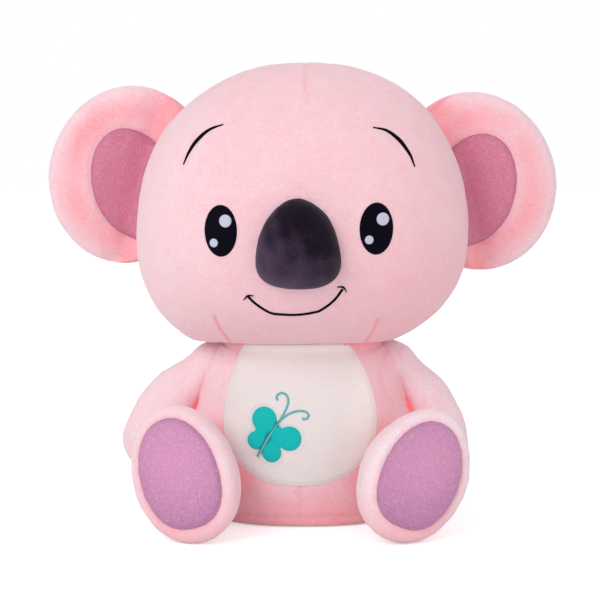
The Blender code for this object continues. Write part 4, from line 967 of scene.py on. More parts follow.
# painted highlight towards the toy's left side and under the chin, and painted shade at the seam
painted_highlight = np.maximum(BELLY_HIGHLIGHT_SIDE * step_up(x, *BELLY_HIGHLIGHT_PLACES),
                        BELLY_HIGHLIGHT_TOP * step_up(z, *BELLY_HIGHLIGHT_HEIGHTS))
set_painted_shading(belly, (BELLY_EDGE_SHADE * near(edge_distance, BELLY_EDGE_REACH) - painted_highlight).ravel())
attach(belly, "torso")
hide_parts("belly_panel")
print("belly panel:", len(belly.data.polygons), "faces")

# %% [markdown]
# ## Arms
# Each arm is a stuffed sleeve with a round hand, sewn on at the shoulder. Its root sits
# inside the torso, and the two covers swell towards each other there, so the shoulder is
# smooth above and has a deep crease below. The arm bends at that seam when it is lifted.
# Arm and torso could be one mesh that bends. Two are simpler, and the round root turns in
# place inside the torso, so no gap opens however far the arm is lifted.

# %% Arms
ARM_COLUMNS = 150
ROOT_ROWS = 14
SLEEVE_ROWS = 60
HAND_ROWS = 24
# painted shade where the arm meets the torso, and a painted highlight away from the torso
ARM_SHADE_REACH = 0.0035
ARM_HIGHLIGHT = {"left": 0.65, "right": 0.55}
ARM_HIGHLIGHT_REACH = 0.012

back = np.array([0.0, 1.0, 0.0])
turns = np.linspace(0, math.tau, ARM_COLUMNS, endpoint=False)
for side in SIDES:
    start, end, bow = arm_line(side)
    rows = []
    point, root_way = bent(start, end, bow, 0.0)
    root = oval(np.cross(back, root_way), back, turns)
    for turn in np.linspace(0, math.pi / 2, ROOT_ROWS)[1:]:
        level = point - root_way * ARM_ROOT_RADIUS * math.cos(turn)
        rows.append(level + root * ARM_ROOT_RADIUS * math.sin(turn))
    for share in np.linspace(0, 1, SLEEVE_ROWS)[1:]:
        point, way = bent(start, end, bow, share)
        across = np.cross(back, way)
        wide, deep = arm_radii(share)
        rows.append(point + oval(across * wide, back * deep, turns))
    last = ARM_SHARES[-1][1]
    hand = oval(across * ARM_RADIUS, back * ARM_DEPTH_RADIUS, turns)
    for turn in np.linspace(0, math.pi / 2, HAND_ROWS)[1:-1]:
        level = point + way * ARM_RADIUS * last * math.sin(turn)
        rows.append(level + hand * last * math.cos(turn))
    arm = stacked(f"{side}_arm", rows, pink_plush, first=np.array(start) - root_way * ARM_ROOT_RADIUS,
                  last=np.array(end) + way * ARM_RADIUS * last)
    facing_out(arm, np.array(end))
    points = points_of(arm)
    depth = outside_torso(points)
    push = swell(depth, points) + seam(depth, points[:, 2], LIGHT_SEAM)
    push += uneven(points, SEEDS["arm"], **LIMB_LUMPS)
    push_out(arm, push)
    # painted shade where the arm meets the torso below the shoulder; painted highlight, paler away from
    # the torso and stronger on the toy's left arm
    painted_shading = near(np.abs(depth), ARM_SHADE_REACH) * (1 - step_up(points[:, 2], *SHOULDER_HEIGHTS))
    set_painted_shading(arm, painted_shading - ARM_HIGHLIGHT[side] * step_up(depth, 0.0, ARM_HIGHLIGHT_REACH))
    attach(arm, f"{side}_arm")
    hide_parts(f"{side}_arm_cover", f"{side}_arm_stuffing")
print("arm:", len(arm.data.polygons), "faces")

# %% [markdown]
# ## Legs and soles
# The toy sits with its legs out, so each leg shows as a short boot with a large oval sole.
# The boot widens from the hip and closes in a soft round rim around the sole panel, whose
# edge is pulled into the seam. The heel is pressed flat where it rests.
# A boot could be a scaled ball and a tube. Rings from hip to sole make it in one piece, and
# the same rings, drawn a little smaller, give the panel that has to fit its rim.

# %% Legs
LEG_COLUMNS = 190
HIP_ROWS = 12
BOOT_ROWS = 50
CAP_ROWS = 70
LEG_LOWEST = 0.0002
# painted shade where the leg meets the torso and at the sole's seam; painted highlight on the boot's rim
HIP_SHADE = 0.7
HIP_REACH = 0.006
RIM_SHADE = 0.35
RIM_REACH = 0.0012
LEG_HIGHLIGHT_SHARES = (0.45, 0.80)
LEG_HIGHLIGHT_LOW = -0.10
LEG_HIGHLIGHT_GAINS = {"left": 1.05, "right": 0.65}
LEG_HIGHLIGHT_HEIGHTS = (0.004, 0.050)
LEG_LIFTS = {}

turns = np.linspace(0, math.tau, LEG_COLUMNS, endpoint=False)
for side in SIDES:
    hip, sole, bow, up = leg_frame(side)
    point, way = bent(hip, sole, bow, 0.0)
    across = np.cross(up, way)
    across /= np.linalg.norm(across)
    root = oval(across, np.cross(way, across), turns)
    rows, shares = [], []
    for turn in np.linspace(0, math.pi / 2, HIP_ROWS)[1:-1]:
        level = point - way * LEG_ROOT_RADIUS * math.cos(turn)
        rows.append(level + root * LEG_ROOT_RADIUS * math.sin(turn))
        shares.append(0.0)
    for share in np.linspace(LEG_SHARES[0][0], CAP_START, BOOT_ROWS)[:-1]:
        rows.append(boot_ring(side, share, turns))
        shares.append(share)
    cap_radials = np.cos(np.linspace(0, math.pi / 2, CAP_ROWS)[:-1]) ** (2 / CAP_ROUNDNESS)
    for cap_radial in cap_radials:
        rows.append(boot_ring(side, cap_share(cap_radial), turns, cap_radial))
        shares.append(cap_share(cap_radial))
    rows = np.array(rows)
    shares = np.array(shares)
    LEG_LIFTS[side] = -rows[..., 2].min() - FLOOR_FLAT
    gain = (np.clip(shares, LEG_SHARES[0][0], 1) - LEG_SHARES[0][0]) / (1 - LEG_SHARES[0][0])
    rows[..., 2] += (LEG_LIFTS[side] * gain)[:, None]
    tip = boot_ring(side, CAP_END, turns[:1], 0.0)[0] + np.array([0, 0, LEG_LIFTS[side]])
    leg = stacked(f"{side}_leg", rows, pink_plush, first=hip - way * LEG_ROOT_RADIUS, last=tip)
    facing_out(leg, (hip + sole) / 2)
    points = points_of(leg)
    radial = np.zeros(rows.shape[:2])
    radial[len(rows) - len(cap_radials):] = cap_radials[:, None]
    from_edge = np.where(radial > 0, np.abs(radial / rim_share(turns) - 1) * PAD_WIDTH / 2, 1.0)
    from_edge = np.append(from_edge.ravel(), [1.0, 1.0])
    push = seam(from_edge, **PANEL_SEAM) + uneven(points, SEEDS["leg"], **LIMB_LUMPS)
    moved = points + normals_of(leg) * push[:, None]
    moved[:, 2] = np.maximum(moved[:, 2], LEG_LOWEST)
    set_points(leg, moved)
    # painted shade near the torso and at the sole's seam; painted highlight on the rim, paler higher up,
    # a little darker at the floor, stronger on the toy's left leg
    inside = HIP_SHADE * near(np.abs(outside_torso(points)), HIP_REACH)
    painted_shading = np.maximum(inside, RIM_SHADE * near(from_edge, RIM_REACH))
    brushed_lay_and_highlight = np.append(np.repeat(step_up(shares, *LEG_HIGHLIGHT_SHARES), len(turns)), [0.0, 1.0])
    brushed_lay_and_highlight *= LEG_HIGHLIGHT_LOW + LEG_HIGHLIGHT_GAINS[side] * step_up(points[:, 2], *LEG_HIGHLIGHT_HEIGHTS)
    set_painted_shading(leg, painted_shading - brushed_lay_and_highlight * (1 - np.minimum(1, 2 * painted_shading)))
    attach(leg, f"{side}_leg")
    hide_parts(f"{side}_leg_cover", f"{side}_leg_stuffing")
print("leg:", len(leg.data.polygons), "faces")

# %% Sole panels
LINING_ROWS = 60
LINING_COLUMNS = 200
LINING_EDGE = 0.0030
LINING_POWER = 0.6
GATHER_DEPTH = 0.00006
GATHER_REACH = 0.0035
lining_shares = np.linspace(INNERMOST, 1, LINING_ROWS)
lining_turns = np.linspace(0, math.tau, LINING_COLUMNS, endpoint=False)


def lining_lift(width, sink, puff, gathers):
    """Each point's distance from a lining's edge, and how far it stands off its plain form."""
    share = np.append(np.repeat(lining_shares, LINING_COLUMNS), 0.0)
    turn = np.append(np.tile(lining_turns, LINING_ROWS), 0.0)
    from_edge = (1 - share) * width / 2
    lift = -sink + (puff + sink) * step_up(from_edge, 0.0, LINING_EDGE) ** LINING_POWER
    return share, from_edge, lift + GATHER_DEPTH * np.cos(turn * gathers) * near(from_edge, GATHER_REACH)


SOLE_PUFF = 0.0009
SOLE_SINK = 0.0013
SOLE_GATHERS = 24
# painted shade on the sole panel
SOLE_LOW_SHADE = (-0.060, -0.012)
SOLE_SHADES = {"outward": 0.35, "low": 0.35, "edge": 0.4}
SOLE_EDGE_REACH = 0.0018

for side in SIDES:
    edge = rim_share(lining_turns)
    lifted = np.array([0, 0, LEG_LIFTS[side]])
    rows = []
    for share in lining_shares:
        spots = zip(lining_turns, edge * share)
        ring = np.array([boot_ring(side, cap_share(r), np.array([t]), r)[0] for t, r in spots])
        rows.append(ring + lifted)
    centre = boot_ring(side, CAP_END, lining_turns[:1], 0.0)[0] + lifted
    pad = stacked(f"{side}_sole", rows, sole_fabric, first=centre)
    facing_out(pad, np.array([0, 0, 0.05]))
    points = points_of(pad)
    share, from_edge, lift = lining_lift(PAD_WIDTH, SOLE_SINK, SOLE_PUFF, SOLE_GATHERS)
    lift += uneven(points, SEEDS["leg"], **LIMB_LUMPS)
    push_out(pad, lift)
    # painted shade: darker towards the sole's edge, at its seam and towards the bottom
    low = step_up(-points[:, 2], *SOLE_LOW_SHADE)
    set_painted_shading(pad, SOLE_SHADES["outward"] * share**2 + SOLE_SHADES["low"] * low
             + SOLE_SHADES["edge"] * near(from_edge, SOLE_EDGE_REACH))
    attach(pad, f"{side}_leg")
    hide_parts(f"{side}_foot_pad")
print("sole panel:", len(pad.data.polygons), "faces")

# %% [markdown]
# ## Head
# The head is a wide egg of plush, fullest at the cheeks. It is made in its own straight-on
# place and then turned a little, as the toy holds it. A dart runs down from the crown, two
# short darts gather the chin, and the face panel joins the back panels behind the ears.
# A scaled ball would be the short way, but it can't be full at the cheeks and flat under
# the chin, so each ring takes its width, its front and its back from curves of their own.

# %% Head sizes
HEAD_WIDTH = 0.220
HEAD_FRONT = 0.090
HEAD_BACK = 0.082
CROWN_RISE = 0.111
SIDE_DROP = 0.086
CHIN_DROP = 0.076
SEAT_DROP = 0.072
SIDE_ROUNDNESS = 2.28
CROWN_SHIFT = 0.0040
CHIN_SHIFT = -0.0096
WIDEST = 0.1885
HEAD_FORWARD = 0.008
REST_TURN = math.radians(1.8)
PLAN_ROUNDNESS = 2.15
EAR_ROOT_BACK = 0.012
NECK_ROOM = 0.0446
CROWN_ROUNDNESS = 2.15
CHIN_ROUNDNESS = 2.0
CROWN_SHIFT_POWER = 4
CHIN_SHIFT_POWER = 2.5
print("head", round(1000 * HEAD_WIDTH), "mm wide")


# %% Head form
def head_reach(z):
    """Half width, front depth and back depth of the head at each height."""
    rise = np.asarray(z, float) - WIDEST
    crown = round_share(np.maximum(rise, 0) / CROWN_RISE, CROWN_ROUNDNESS)
    side = round_share(np.minimum(rise, 0) / SIDE_DROP, SIDE_ROUNDNESS)
    chin = round_share(np.minimum(rise, 0) / CHIN_DROP, CHIN_ROUNDNESS)
    up = rise >= 0
    return (HEAD_WIDTH / 2 * np.where(up, crown, side), HEAD_FRONT * np.where(up, crown, chin),
            HEAD_BACK * np.where(up, crown, side))


def head_shift(z):
    """How far the middle of the head stands to its left at each height."""
    rise = np.asarray(z, float) - WIDEST
    return (CROWN_SHIFT * (np.maximum(rise, 0) / CROWN_RISE) ** CROWN_SHIFT_POWER
            + CHIN_SHIFT * (np.maximum(-rise, 0) / SIDE_DROP) ** CHIN_SHIFT_POWER)


def face_point(x, z):
    """Points on the plain front of the head."""
    half_width, front, _ = head_reach(z)
    across = (x - head_shift(z)) / np.maximum(half_width, TINY)
    y = -HEAD_FORWARD - front * round_share(across, PLAN_ROUNDNESS)
    return np.stack([x, y, z], axis=-1)


FOREHEAD_DART = ((0.0022, 0.2985), (0.0030, 0.290), (0.0048, 0.2750))
CHIN_DARTS = (((-0.0545, 0.1375), (-0.0515, 0.128), (-0.0465, 0.1180)),
              ((0.0497, 0.1365), (0.0470, 0.128), (0.0420, 0.1180)))
FOREHEAD_SEAM = {"depth": 0.0006, "width": 0.0013}
CHIN_SEAM = {"depth": 0.0009, "width": 0.0011}
FRONT_PLACES = (-0.004, 0.004)


def head_push(points):
    """How far the head's cover stands out of its plain form at each point."""
    x, y, z = points.T
    flat = points[:, [0, 2]]
    front = step_up(-y, *FRONT_PLACES)
    push = seam(np.abs(y - EAR_ROOT_BACK), z)
    push += seam(np.where(y > EAR_ROOT_BACK, np.abs(x), 1), z)
    push += front * seam(off_path(flat, FOREHEAD_DART), **FOREHEAD_SEAM)
    for dart in CHIN_DARTS:
        push += front * seam(off_path(flat, dart), **CHIN_SEAM)
    return push + uneven(points, SEEDS["head"], **HEAD_LUMPS)


print("darts on the chin:", len(CHIN_DARTS))

# %% Head mesh
HEAD_ROWS = 210
HEAD_COLUMNS = 420
SEAT_ROWS = 24
HEAD_SAMPLES = 4000
FACE_DENSITY = 0.4
# painted shade in the darts, the side seam and the toy's left cheek; painted highlight on the toy's right
# side
CHIN_DART_SHADE = 0.7
CHIN_DART_REACH = 0.0010
FOREHEAD_DART_SHADE = 0.18
FOREHEAD_DART_REACH = 0.0012
SIDE_SEAM_SHADE = 0.4
SIDE_SEAM_REACH = 0.0015
CHEEK_SHADE = 0.14
CHEEK_HEIGHTS = (0.150, 0.215)
CHEEK_PLACES = (0.010, 0.080)
HEAD_HIGHLIGHT = 0.30
HEAD_HIGHLIGHT_PLACES = (0.030, 0.095)

tall = np.linspace(-math.asin(SEAT_DROP / SIDE_DROP), math.pi / 2, HEAD_SAMPLES)
samples = WIDEST + np.where(tall > 0, CROWN_RISE, SIDE_DROP) * np.sin(tall)
places = even_places(head_reach(samples)[0], samples, HEAD_ROWS)
heights = np.interp(places, np.linspace(0, 1, len(samples)), samples)[:-1]
dense = np.linspace(0, math.tau, HEAD_SAMPLES + 1)
weight = np.concatenate([[0], np.cumsum(1 - FACE_DENSITY * np.sin(dense[1:]))])
turns = np.interp(np.linspace(0, weight[-1], HEAD_COLUMNS, endpoint=False), weight, dense)
head_rows = []
for z in heights:
    half_width, front, back = head_reach(z)
    half_depth = np.where(np.sin(turns) < 0, front, back)
    across = half_width * signed_power(np.cos(turns), 2 / PLAN_ROUNDNESS) + head_shift(z)
    deep = half_depth * signed_power(np.sin(turns), 2 / PLAN_ROUNDNESS) - HEAD_FORWARD
    head_rows.append(np.stack([across, deep, np.full(len(turns), z)], axis=-1))
seat = np.array([float(head_shift(heights[0])), -HEAD_FORWARD, heights[0]])
under = [seat + (head_rows[0] - seat) * share for share in np.linspace(0.05, 0.97, SEAT_ROWS)]
head = stacked("head_cover", under + head_rows, pink_plush, first=seat,
               last=(CROWN_SHIFT, -HEAD_FORWARD, WIDEST + CROWN_RISE))
facing_out(head, (0, 0, WIDEST))
points = points_of(head)
moved = points + normals_of(head) * head_push(points)[:, None]
neck = np.array([0, 0, NECK_HEIGHT])
from_neck = moved - neck
distance = np.linalg.norm(from_neck, axis=1, keepdims=True)
moved = np.where(distance < NECK_ROOM, neck + from_neck * NECK_ROOM / distance, moved)
set_points(head, moved)
x, y, z = points.T
flat = points[:, [0, 2]]
# painted shade in the darts and the side seam, and on the toy's left cheek, away from the lamp; painted
# highlight on the toy's right side, which faces the lamp
darts = np.minimum(off_path(flat, CHIN_DARTS[0]), off_path(flat, CHIN_DARTS[1]))
face_painted_shading = np.maximum(CHIN_DART_SHADE * near(darts, CHIN_DART_REACH),
                       FOREHEAD_DART_SHADE * near(off_path(flat, FOREHEAD_DART), FOREHEAD_DART_REACH))
cheek = (1 - step_up(z, *CHEEK_HEIGHTS)) * step_up(x, *CHEEK_PLACES)
face_painted_shading = np.maximum(face_painted_shading, CHEEK_SHADE * cheek)
side_seam = SIDE_SEAM_SHADE * near(np.abs(y - EAR_ROOT_BACK), SIDE_SEAM_REACH)
painted_shading = np.maximum(np.where(y < 0, face_painted_shading, 0), side_seam)
set_painted_shading(head, painted_shading - HEAD_HIGHLIGHT * step_up(-x, *HEAD_HIGHLIGHT_PLACES) * (1 - np.minimum(1, 2 * painted_shading)))
turned = Matrix.Rotation(-REST_TURN, 4, "Z")
head.data.transform(turned)
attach(head, "head")
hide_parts("face_panel", "head_back_left", "head_back_right", "head_stuffing")
print("head cover:", len(head.data.polygons), "faces")

# %% [markdown]
# ## Ears
# Each ear is a thick round pad of plush with a glitter panel let into its front. It narrows
# to a waist where it goes into the head, and it folds there.
# Two sewn discs could be blown up as cloth. Slices of a set thickness were chosen, because
# the root has to end in the round form on which the ear folds.

# %% Ear sizes
EAR_HALF_HEIGHT = 0.0600
EAR_REACH = 0.0535
EAR_CENTRES_OUT = {"left": 0.0184, "right": 0.0210}
EAR_THICKNESS = 0.024
EAR_ROOT_RADIUS = 0.0100
EAR_ROOT_OUT = 0.0975
EAR_ROOT_HEIGHTS = {"left": 0.2151, "right": 0.2183}
EAR_ROOT_TILT = math.radians(15.5)
EAR_PANEL_WIDTH = 0.054
EAR_PANEL_HEIGHT = 0.077
EAR_PANEL_OUT = 0.0170
EAR_PANEL_DROP = 0.0050
EAR_PANEL_LEAN = math.radians(16.6)
EAR_WAIST_SHARES = ((0.0, 0.38), (0.07, 0.39), (0.26, 0.74), (0.45, 1.0))
EAR_FULLEST = 0.45
RIM_ROUNDNESS = 2.4
EAR_FADE_ROUNDNESS = 2.6


def ear_depth(side, out, level):
    """Half thickness of the ear at a distance out from its root line and a height along it."""
    way = level / EAR_HALF_HEIGHT
    fade = round_share(way, EAR_FADE_ROUNDNESS)
    root = EAR_ROOT_RADIUS * fade
    span = EAR_REACH * round_share(way, 2)
    centre_out = EAR_CENTRES_OUT[side]
    start = np.maximum(-root, centre_out - span)
    waist = start + 2 * root
    share = np.clip((out - waist) / np.maximum(centre_out + span - waist, TINY), 0, 1)
    blade = np.where(share < EAR_FULLEST, through(EAR_WAIST_SHARES, share)[0],
                     round_share((share - EAR_FULLEST) / (1 - EAR_FULLEST), RIM_ROUNDNESS))
    blade = EAR_THICKNESS / 2 * fade * blade
    ball = np.sqrt(np.maximum(0, root**2 - (out - start - root) ** 2))
    thin = EAR_THICKNESS / 2 * fade * EAR_WAIST_SHARES[0][1]
    narrowing = root + (thin - root) * step_up(out, start + root, waist)
    return np.where(out < start + root, ball, np.where(out < waist, narrowing, blade))


def ear_frame(side):
    """Middle and directions of the root line, then middle, up and across of the panel."""
    sign = SIDES[side]
    middle = np.array([sign * EAR_ROOT_OUT, EAR_ROOT_BACK, EAR_ROOT_HEIGHTS[side]])
    along = np.array([-sign * math.sin(EAR_ROOT_TILT), 0, math.cos(EAR_ROOT_TILT)])
    outward = np.array([sign * math.cos(EAR_ROOT_TILT), 0, math.sin(EAR_ROOT_TILT)])
    panel = middle + outward * EAR_PANEL_OUT - np.array([0, 0, EAR_PANEL_DROP])
    up = np.array([sign * math.sin(EAR_PANEL_LEAN), 0, math.cos(EAR_PANEL_LEAN)])
    across = np.array([sign * math.cos(EAR_PANEL_LEAN), 0, -math.sin(EAR_PANEL_LEAN)])
    return middle, along, outward, panel, up, across


print("ear", round(2000 * EAR_HALF_HEIGHT), "mm high")

# %% Ear covers and panels
EAR_ROWS = 150
EAR_COLUMNS = 90
EAR_PUFF = 0.0008
EAR_SINK = 0.0012
EAR_GATHERS = 26
EAR_EDGE_FADE = 0.0035
EAR_RIM_SEAM = {"depth": 0.0004, "width": 0.0010}
EAR_RIM_PLACE = 0.0042
INTO_HEAD_START = 0.008
INTO_HEAD_REACH = 0.012
# painted shade into the head, along the panel's seam and in a band round the rim; painted highlight on
# the outermost rim
INTO_HEAD_SHADE = 0.45
BAND_PLACE = 0.70
BAND_SPREAD = 0.16
BAND_LUMP = 0.040
BAND_EVEN = 0.80
BAND_UNEVEN = 0.30
BAND_SHADES = {"left": 0.35, "right": 0.45, "back": 0.15}
PANEL_SHADE = 0.25
PANEL_REACH = 0.0016
EAR_RIM_HIGHLIGHT = 0.38
EAR_RIM_HIGHLIGHT_SHARES = (0.86, 0.99)
EAR_LINING_SHADE = 0.6
EAR_LINING_REACH = 0.0020

front = np.array([0.0, -1.0, 0.0])
for side in SIDES:
    middle, along, outward, panel, up, across = ear_frame(side)
    centre_out = EAR_CENTRES_OUT[side]
    rows = []
    for i in range(1, EAR_ROWS):
        way = -math.cos(math.pi * i / EAR_ROWS)
        level = way * EAR_HALF_HEIGHT
        span = EAR_REACH * float(round_share(way, 2))
        start = max(-EAR_ROOT_RADIUS * float(round_share(way, EAR_FADE_ROUNDNESS)), centre_out - span)
        spread = (1 - np.cos(np.linspace(0, math.pi, EAR_COLUMNS))) / 2
        out = start + (centre_out + span - start) * spread
        depth = ear_depth(side, out, np.full(len(out), level))[:, None]
        flat = middle + along * level + outward * out[:, None]
        rows.append(np.concatenate([flat + front * depth, (flat - front * depth)[-2:0:-1]]))
    ends = [middle + along * (e * EAR_HALF_HEIGHT) + outward * centre_out for e in (-1, 1)]
    ear = stacked(f"{side}_ear", rows, pink_plush, first=ends[0], last=ends[1])
    facing_out(ear, middle + outward * centre_out)
    points = points_of(ear)
    local = points - panel
    reach = np.hypot(local @ across / (EAR_PANEL_WIDTH / 2), local @ up / (EAR_PANEL_HEIGHT / 2))
    from_edge = np.abs(reach - 1) * EAR_PANEL_WIDTH / 2
    is_front = points[:, 1] < EAR_ROOT_BACK
    push = np.where(is_front, seam(from_edge, **PANEL_SEAM), 0)
    push += uneven(points, SEEDS["ear"], **LIMB_LUMPS)
    off_middle = np.abs(points[:, 1] - EAR_ROOT_BACK)
    push *= np.clip(off_middle / EAR_EDGE_FADE, 0, 1)
    push += seam(np.where(is_front, off_middle - EAR_RIM_PLACE, 1), **EAR_RIM_SEAM)
    push_out(ear, push)
    # painted shade where the ear goes into the head, along the panel's seam and in a band round the rim;
    # painted highlight on the outermost rim
    out, level = (points - middle) @ outward, (points - middle) @ along
    into_head = near(np.maximum(0, out - INTO_HEAD_START), INTO_HEAD_REACH)
    outline = np.hypot((out - centre_out) / EAR_REACH, level / EAR_HALF_HEIGHT)
    band = np.exp(-(((outline - BAND_PLACE) / BAND_SPREAD) ** 2))
    band *= BAND_EVEN + BAND_UNEVEN * wobble(points, BAND_LUMP, SEEDS["ear_band"])
    painted_shading = np.where(is_front, PANEL_SHADE * near(from_edge, PANEL_REACH), 0)
    painted_shading = np.maximum(painted_shading, np.where(is_front, BAND_SHADES[side], BAND_SHADES["back"]) * band)
    painted_shading = np.maximum(painted_shading, INTO_HEAD_SHADE * into_head)
    set_painted_shading(ear, painted_shading - EAR_RIM_HIGHLIGHT * step_up(outline, *EAR_RIM_HIGHLIGHT_SHARES) * (1 - into_head))
    ear.data.transform(turned)
    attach(ear, f"{side}_ear")
    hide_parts(f"{side}_ear_cover", f"{side}_ear_stuffing")

    edge = oval(across * EAR_PANEL_WIDTH / 2, up * EAR_PANEL_HEIGHT / 2, lining_turns)
    rows = []
    for share in lining_shares:
        spot = panel + edge * share
        depth = ear_depth(side, (spot - middle) @ outward, (spot - middle) @ along)
        rows.append(spot + front * depth[:, None])
    inner = stacked(f"{side}_ear_lining", rows, ear_fabric, first=rows[0].mean(axis=0))
    facing_out(inner, middle + np.array([0, 0.05, 0]))
    points = points_of(inner)
    share, from_edge, lift = lining_lift(EAR_PANEL_WIDTH, EAR_SINK, EAR_PUFF, EAR_GATHERS)
    lift += uneven(points, SEEDS["ear"], **LIMB_LUMPS)
    push_out(inner, lift)
    # painted shade along the lining's seam
    set_painted_shading(inner, EAR_LINING_SHADE * near(from_edge, EAR_LINING_REACH))
    inner.data.transform(turned)
    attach(inner, f"{side}_ear")
    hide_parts(f"{side}_ear_panel")
print("ear:", len(ear.data.polygons), "faces, lining:", len(inner.data.polygons))

# %% [markdown]
# ## Nose
# The nose is a small pad of dark velvet, filled and sewn on: narrow and round above, wide
# and flat below. It bulges well out of the face and tucks under at its edge.
# It could be half a ball pulled wide. An outline and a dome with a roundness each come
# closer, and its base follows the face, so that it sits on the plush all round.

# %% Nose
NOSE_WIDTH = 0.0530
NOSE_UPPER = 0.0385
NOSE_LOWER = 0.0183
NOSE_RISE = 0.021
NOSE_HEIGHT = WIDEST - 0.0104
NOSE_UPPER_ROUNDNESS = 1.90
NOSE_LOWER_ROUNDNESS = 2.6
NOSE_DOME_ROUNDNESS = 2.4
NOSE_COLUMNS = 220
NOSE_ROWS = 80
NOSE_TUCK = 0.0008
# painted shade on the velvet: how dark it is at the middle, how much darker upwards and to the toy's
# left, away from the lamp, and how much its tone changes at random
NOSE_SHADE = 0.54
NOSE_SHADE_UP = 0.6
NOSE_SHADE_LEFT = 0.30
NOSE_SHADE_CHANCE = 0.12
NOSE_SHADE_LUMP = 0.014


def nose_edge(turns):
    """The outline of the nose around its widest level."""
    power = np.where(np.sin(turns) > 0, 2 / NOSE_UPPER_ROUNDNESS, 2 / NOSE_LOWER_ROUNDNESS)
    tall = np.where(np.sin(turns) > 0, NOSE_UPPER, NOSE_LOWER)
    return NOSE_WIDTH / 2 * signed_power(np.cos(turns), power), tall * signed_power(np.sin(turns), power)


edge_x, edge_z = nose_edge(np.linspace(0, math.tau, NOSE_COLUMNS, endpoint=False))
rows = []
for turn in np.linspace(0.02, math.pi / 2, NOSE_ROWS):
    share = math.sin(turn)
    rise = NOSE_RISE * float(round_share(share, NOSE_DOME_ROUNDNESS))
    base_point = face_point(edge_x * share, NOSE_HEIGHT + edge_z * share)
    rows.append(base_point + front * (rise - NOSE_TUCK * step_up(share, 0.97, 1.0)))
tip = face_point(np.array([0.0]), np.array([NOSE_HEIGHT]))[0] + front * NOSE_RISE
nose = stacked("nose", rows, plum_velvet, first=tip)
facing_out(nose, (0, -0.06, NOSE_HEIGHT))
points = points_of(nose)
push_out(nose, uneven(points, SEEDS["nose"], **NOSE_LUMPS))
# painted shade: darker towards the top and towards the toy's left
shade = NOSE_SHADE + NOSE_SHADE_UP * (points[:, 2] - NOSE_HEIGHT) / NOSE_UPPER
shade += NOSE_SHADE_LEFT * points[:, 0] / (NOSE_WIDTH / 2)
set_painted_shading(nose, shade + NOSE_SHADE_CHANCE * wobble(points, NOSE_SHADE_LUMP, SEEDS["nose_shade"]))
nose.data.transform(turned)
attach(nose, "head")
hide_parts("nose_cover", "nose_stuffing")
print("nose:", len(nose.data.polygons), "faces")

# %% [markdown]
# ## Embroidered face
# The eyes, brows and mouth are stitched through the plush, so they sit a little proud of the
# backing but pull the pile down at their edges. Each is a thin sheet that follows the face:
# an oval for the eye, and for a line a half-round ribbon whose edge ripples with its threads.
# They could be a colour on the head's mesh, but stitches have a thickness that catches light
# and an edge of thread ends, which a colour can't give.


# %% Stitched shapes
OVAL_ROWS = 30
OVAL_COLUMNS = 180
LINE_ROWS = 9
STITCH_EDGE = 8
# how far thread ends stick out of an oval as shares of its size, how many, and where they start
OVAL_RAGGED = ((0.006, 60, 0), (0.004, 37, 1))
# the same share for a line, and how far round its wave each step along the line goes
LINE_RAGGED = 0.06
LINE_WAVE_STEP = 2.1
LINE_FLATNESS = 0.7


def placed(surface, pushed_by, x, z, lift):
    """Points of a finished surface, raised by a lift."""
    x, z = np.asarray(x, float), np.asarray(z, float)
    plain = surface(x, z)
    push = pushed_by(plain.reshape(-1, 3)).reshape(x.shape)
    return plain + surface_normals(surface, x, z) * (push + lift)[..., None]


def face_place(x, z, lift):
    """Points of the finished face, raised by a lift."""
    return placed(face_point, head_push, x, z, lift)


def belly_place(x, z, lift):
    """Points of the finished belly, raised by a lift."""
    return placed(chest_point, torso_uneven, x, z, BELLY_PUFF + lift)


def stitched_oval(name, centre, half, look, top, crown, base=-0.0006):
    """A filled oval of stitches on the face, with a crisp edge."""
    turns = np.linspace(0, math.tau, OVAL_COLUMNS, endpoint=False)
    ragged = 1 + sum(out * np.cos(turns * ends + start) for out, ends, start in OVAL_RAGGED)
    rows = []
    for share in np.sin(np.linspace(INNERMOST, math.pi / 2, OVAL_ROWS)):
        x = centre[0] + half[0] * share * np.cos(turns) * ragged
        z = centre[1] + half[1] * share * np.sin(turns) * ragged
        lift = base + (top - base) * float(round_share(share, STITCH_EDGE)) + crown * (1 - share**2)
        rows.append(face_place(x, z, np.full(len(x), lift)))
    first = face_place(np.array([centre[0]]), np.array([centre[1]]), np.array([top + crown]))[0]
    made = stacked(name, rows, look, first=first)
    facing_out(made, (0, 0.05, centre[1]))
    return made


def stitched_line(name, place_at, path, widths, look, top=0.0007, count=120, base=-0.0005):
    """A line of satin stitch along (x, z) points, with a width at each."""
    stations = [(i, x, z, w) for i, ((x, z), w) in enumerate(zip(path, widths))]
    x, z, width = through(stations, np.linspace(0, len(path) - 1, count))
    way = np.stack([np.gradient(x), np.gradient(z)], axis=-1)
    way /= np.linalg.norm(way, axis=1, keepdims=True)
    ragged = 1 + LINE_RAGGED * np.cos(np.arange(count) * LINE_WAVE_STEP)
    rows = []
    for share in np.linspace(-1, 1, LINE_ROWS):
        out = width / 2 * share * ragged
        lift = base + (top - base) * math.sqrt(max(0.0, 1 - share**2)) ** LINE_FLATNESS
        rows.append(place_at(x - way[:, 1] * out, z + way[:, 0] * out, np.full(count, lift)))
    made = stacked(name, np.array(rows), look, around=False)
    facing_out(made, (0, 0.05, float(z.mean())))
    return made


print("an oval has", OVAL_ROWS, "rings and a line", LINE_ROWS, "rows")

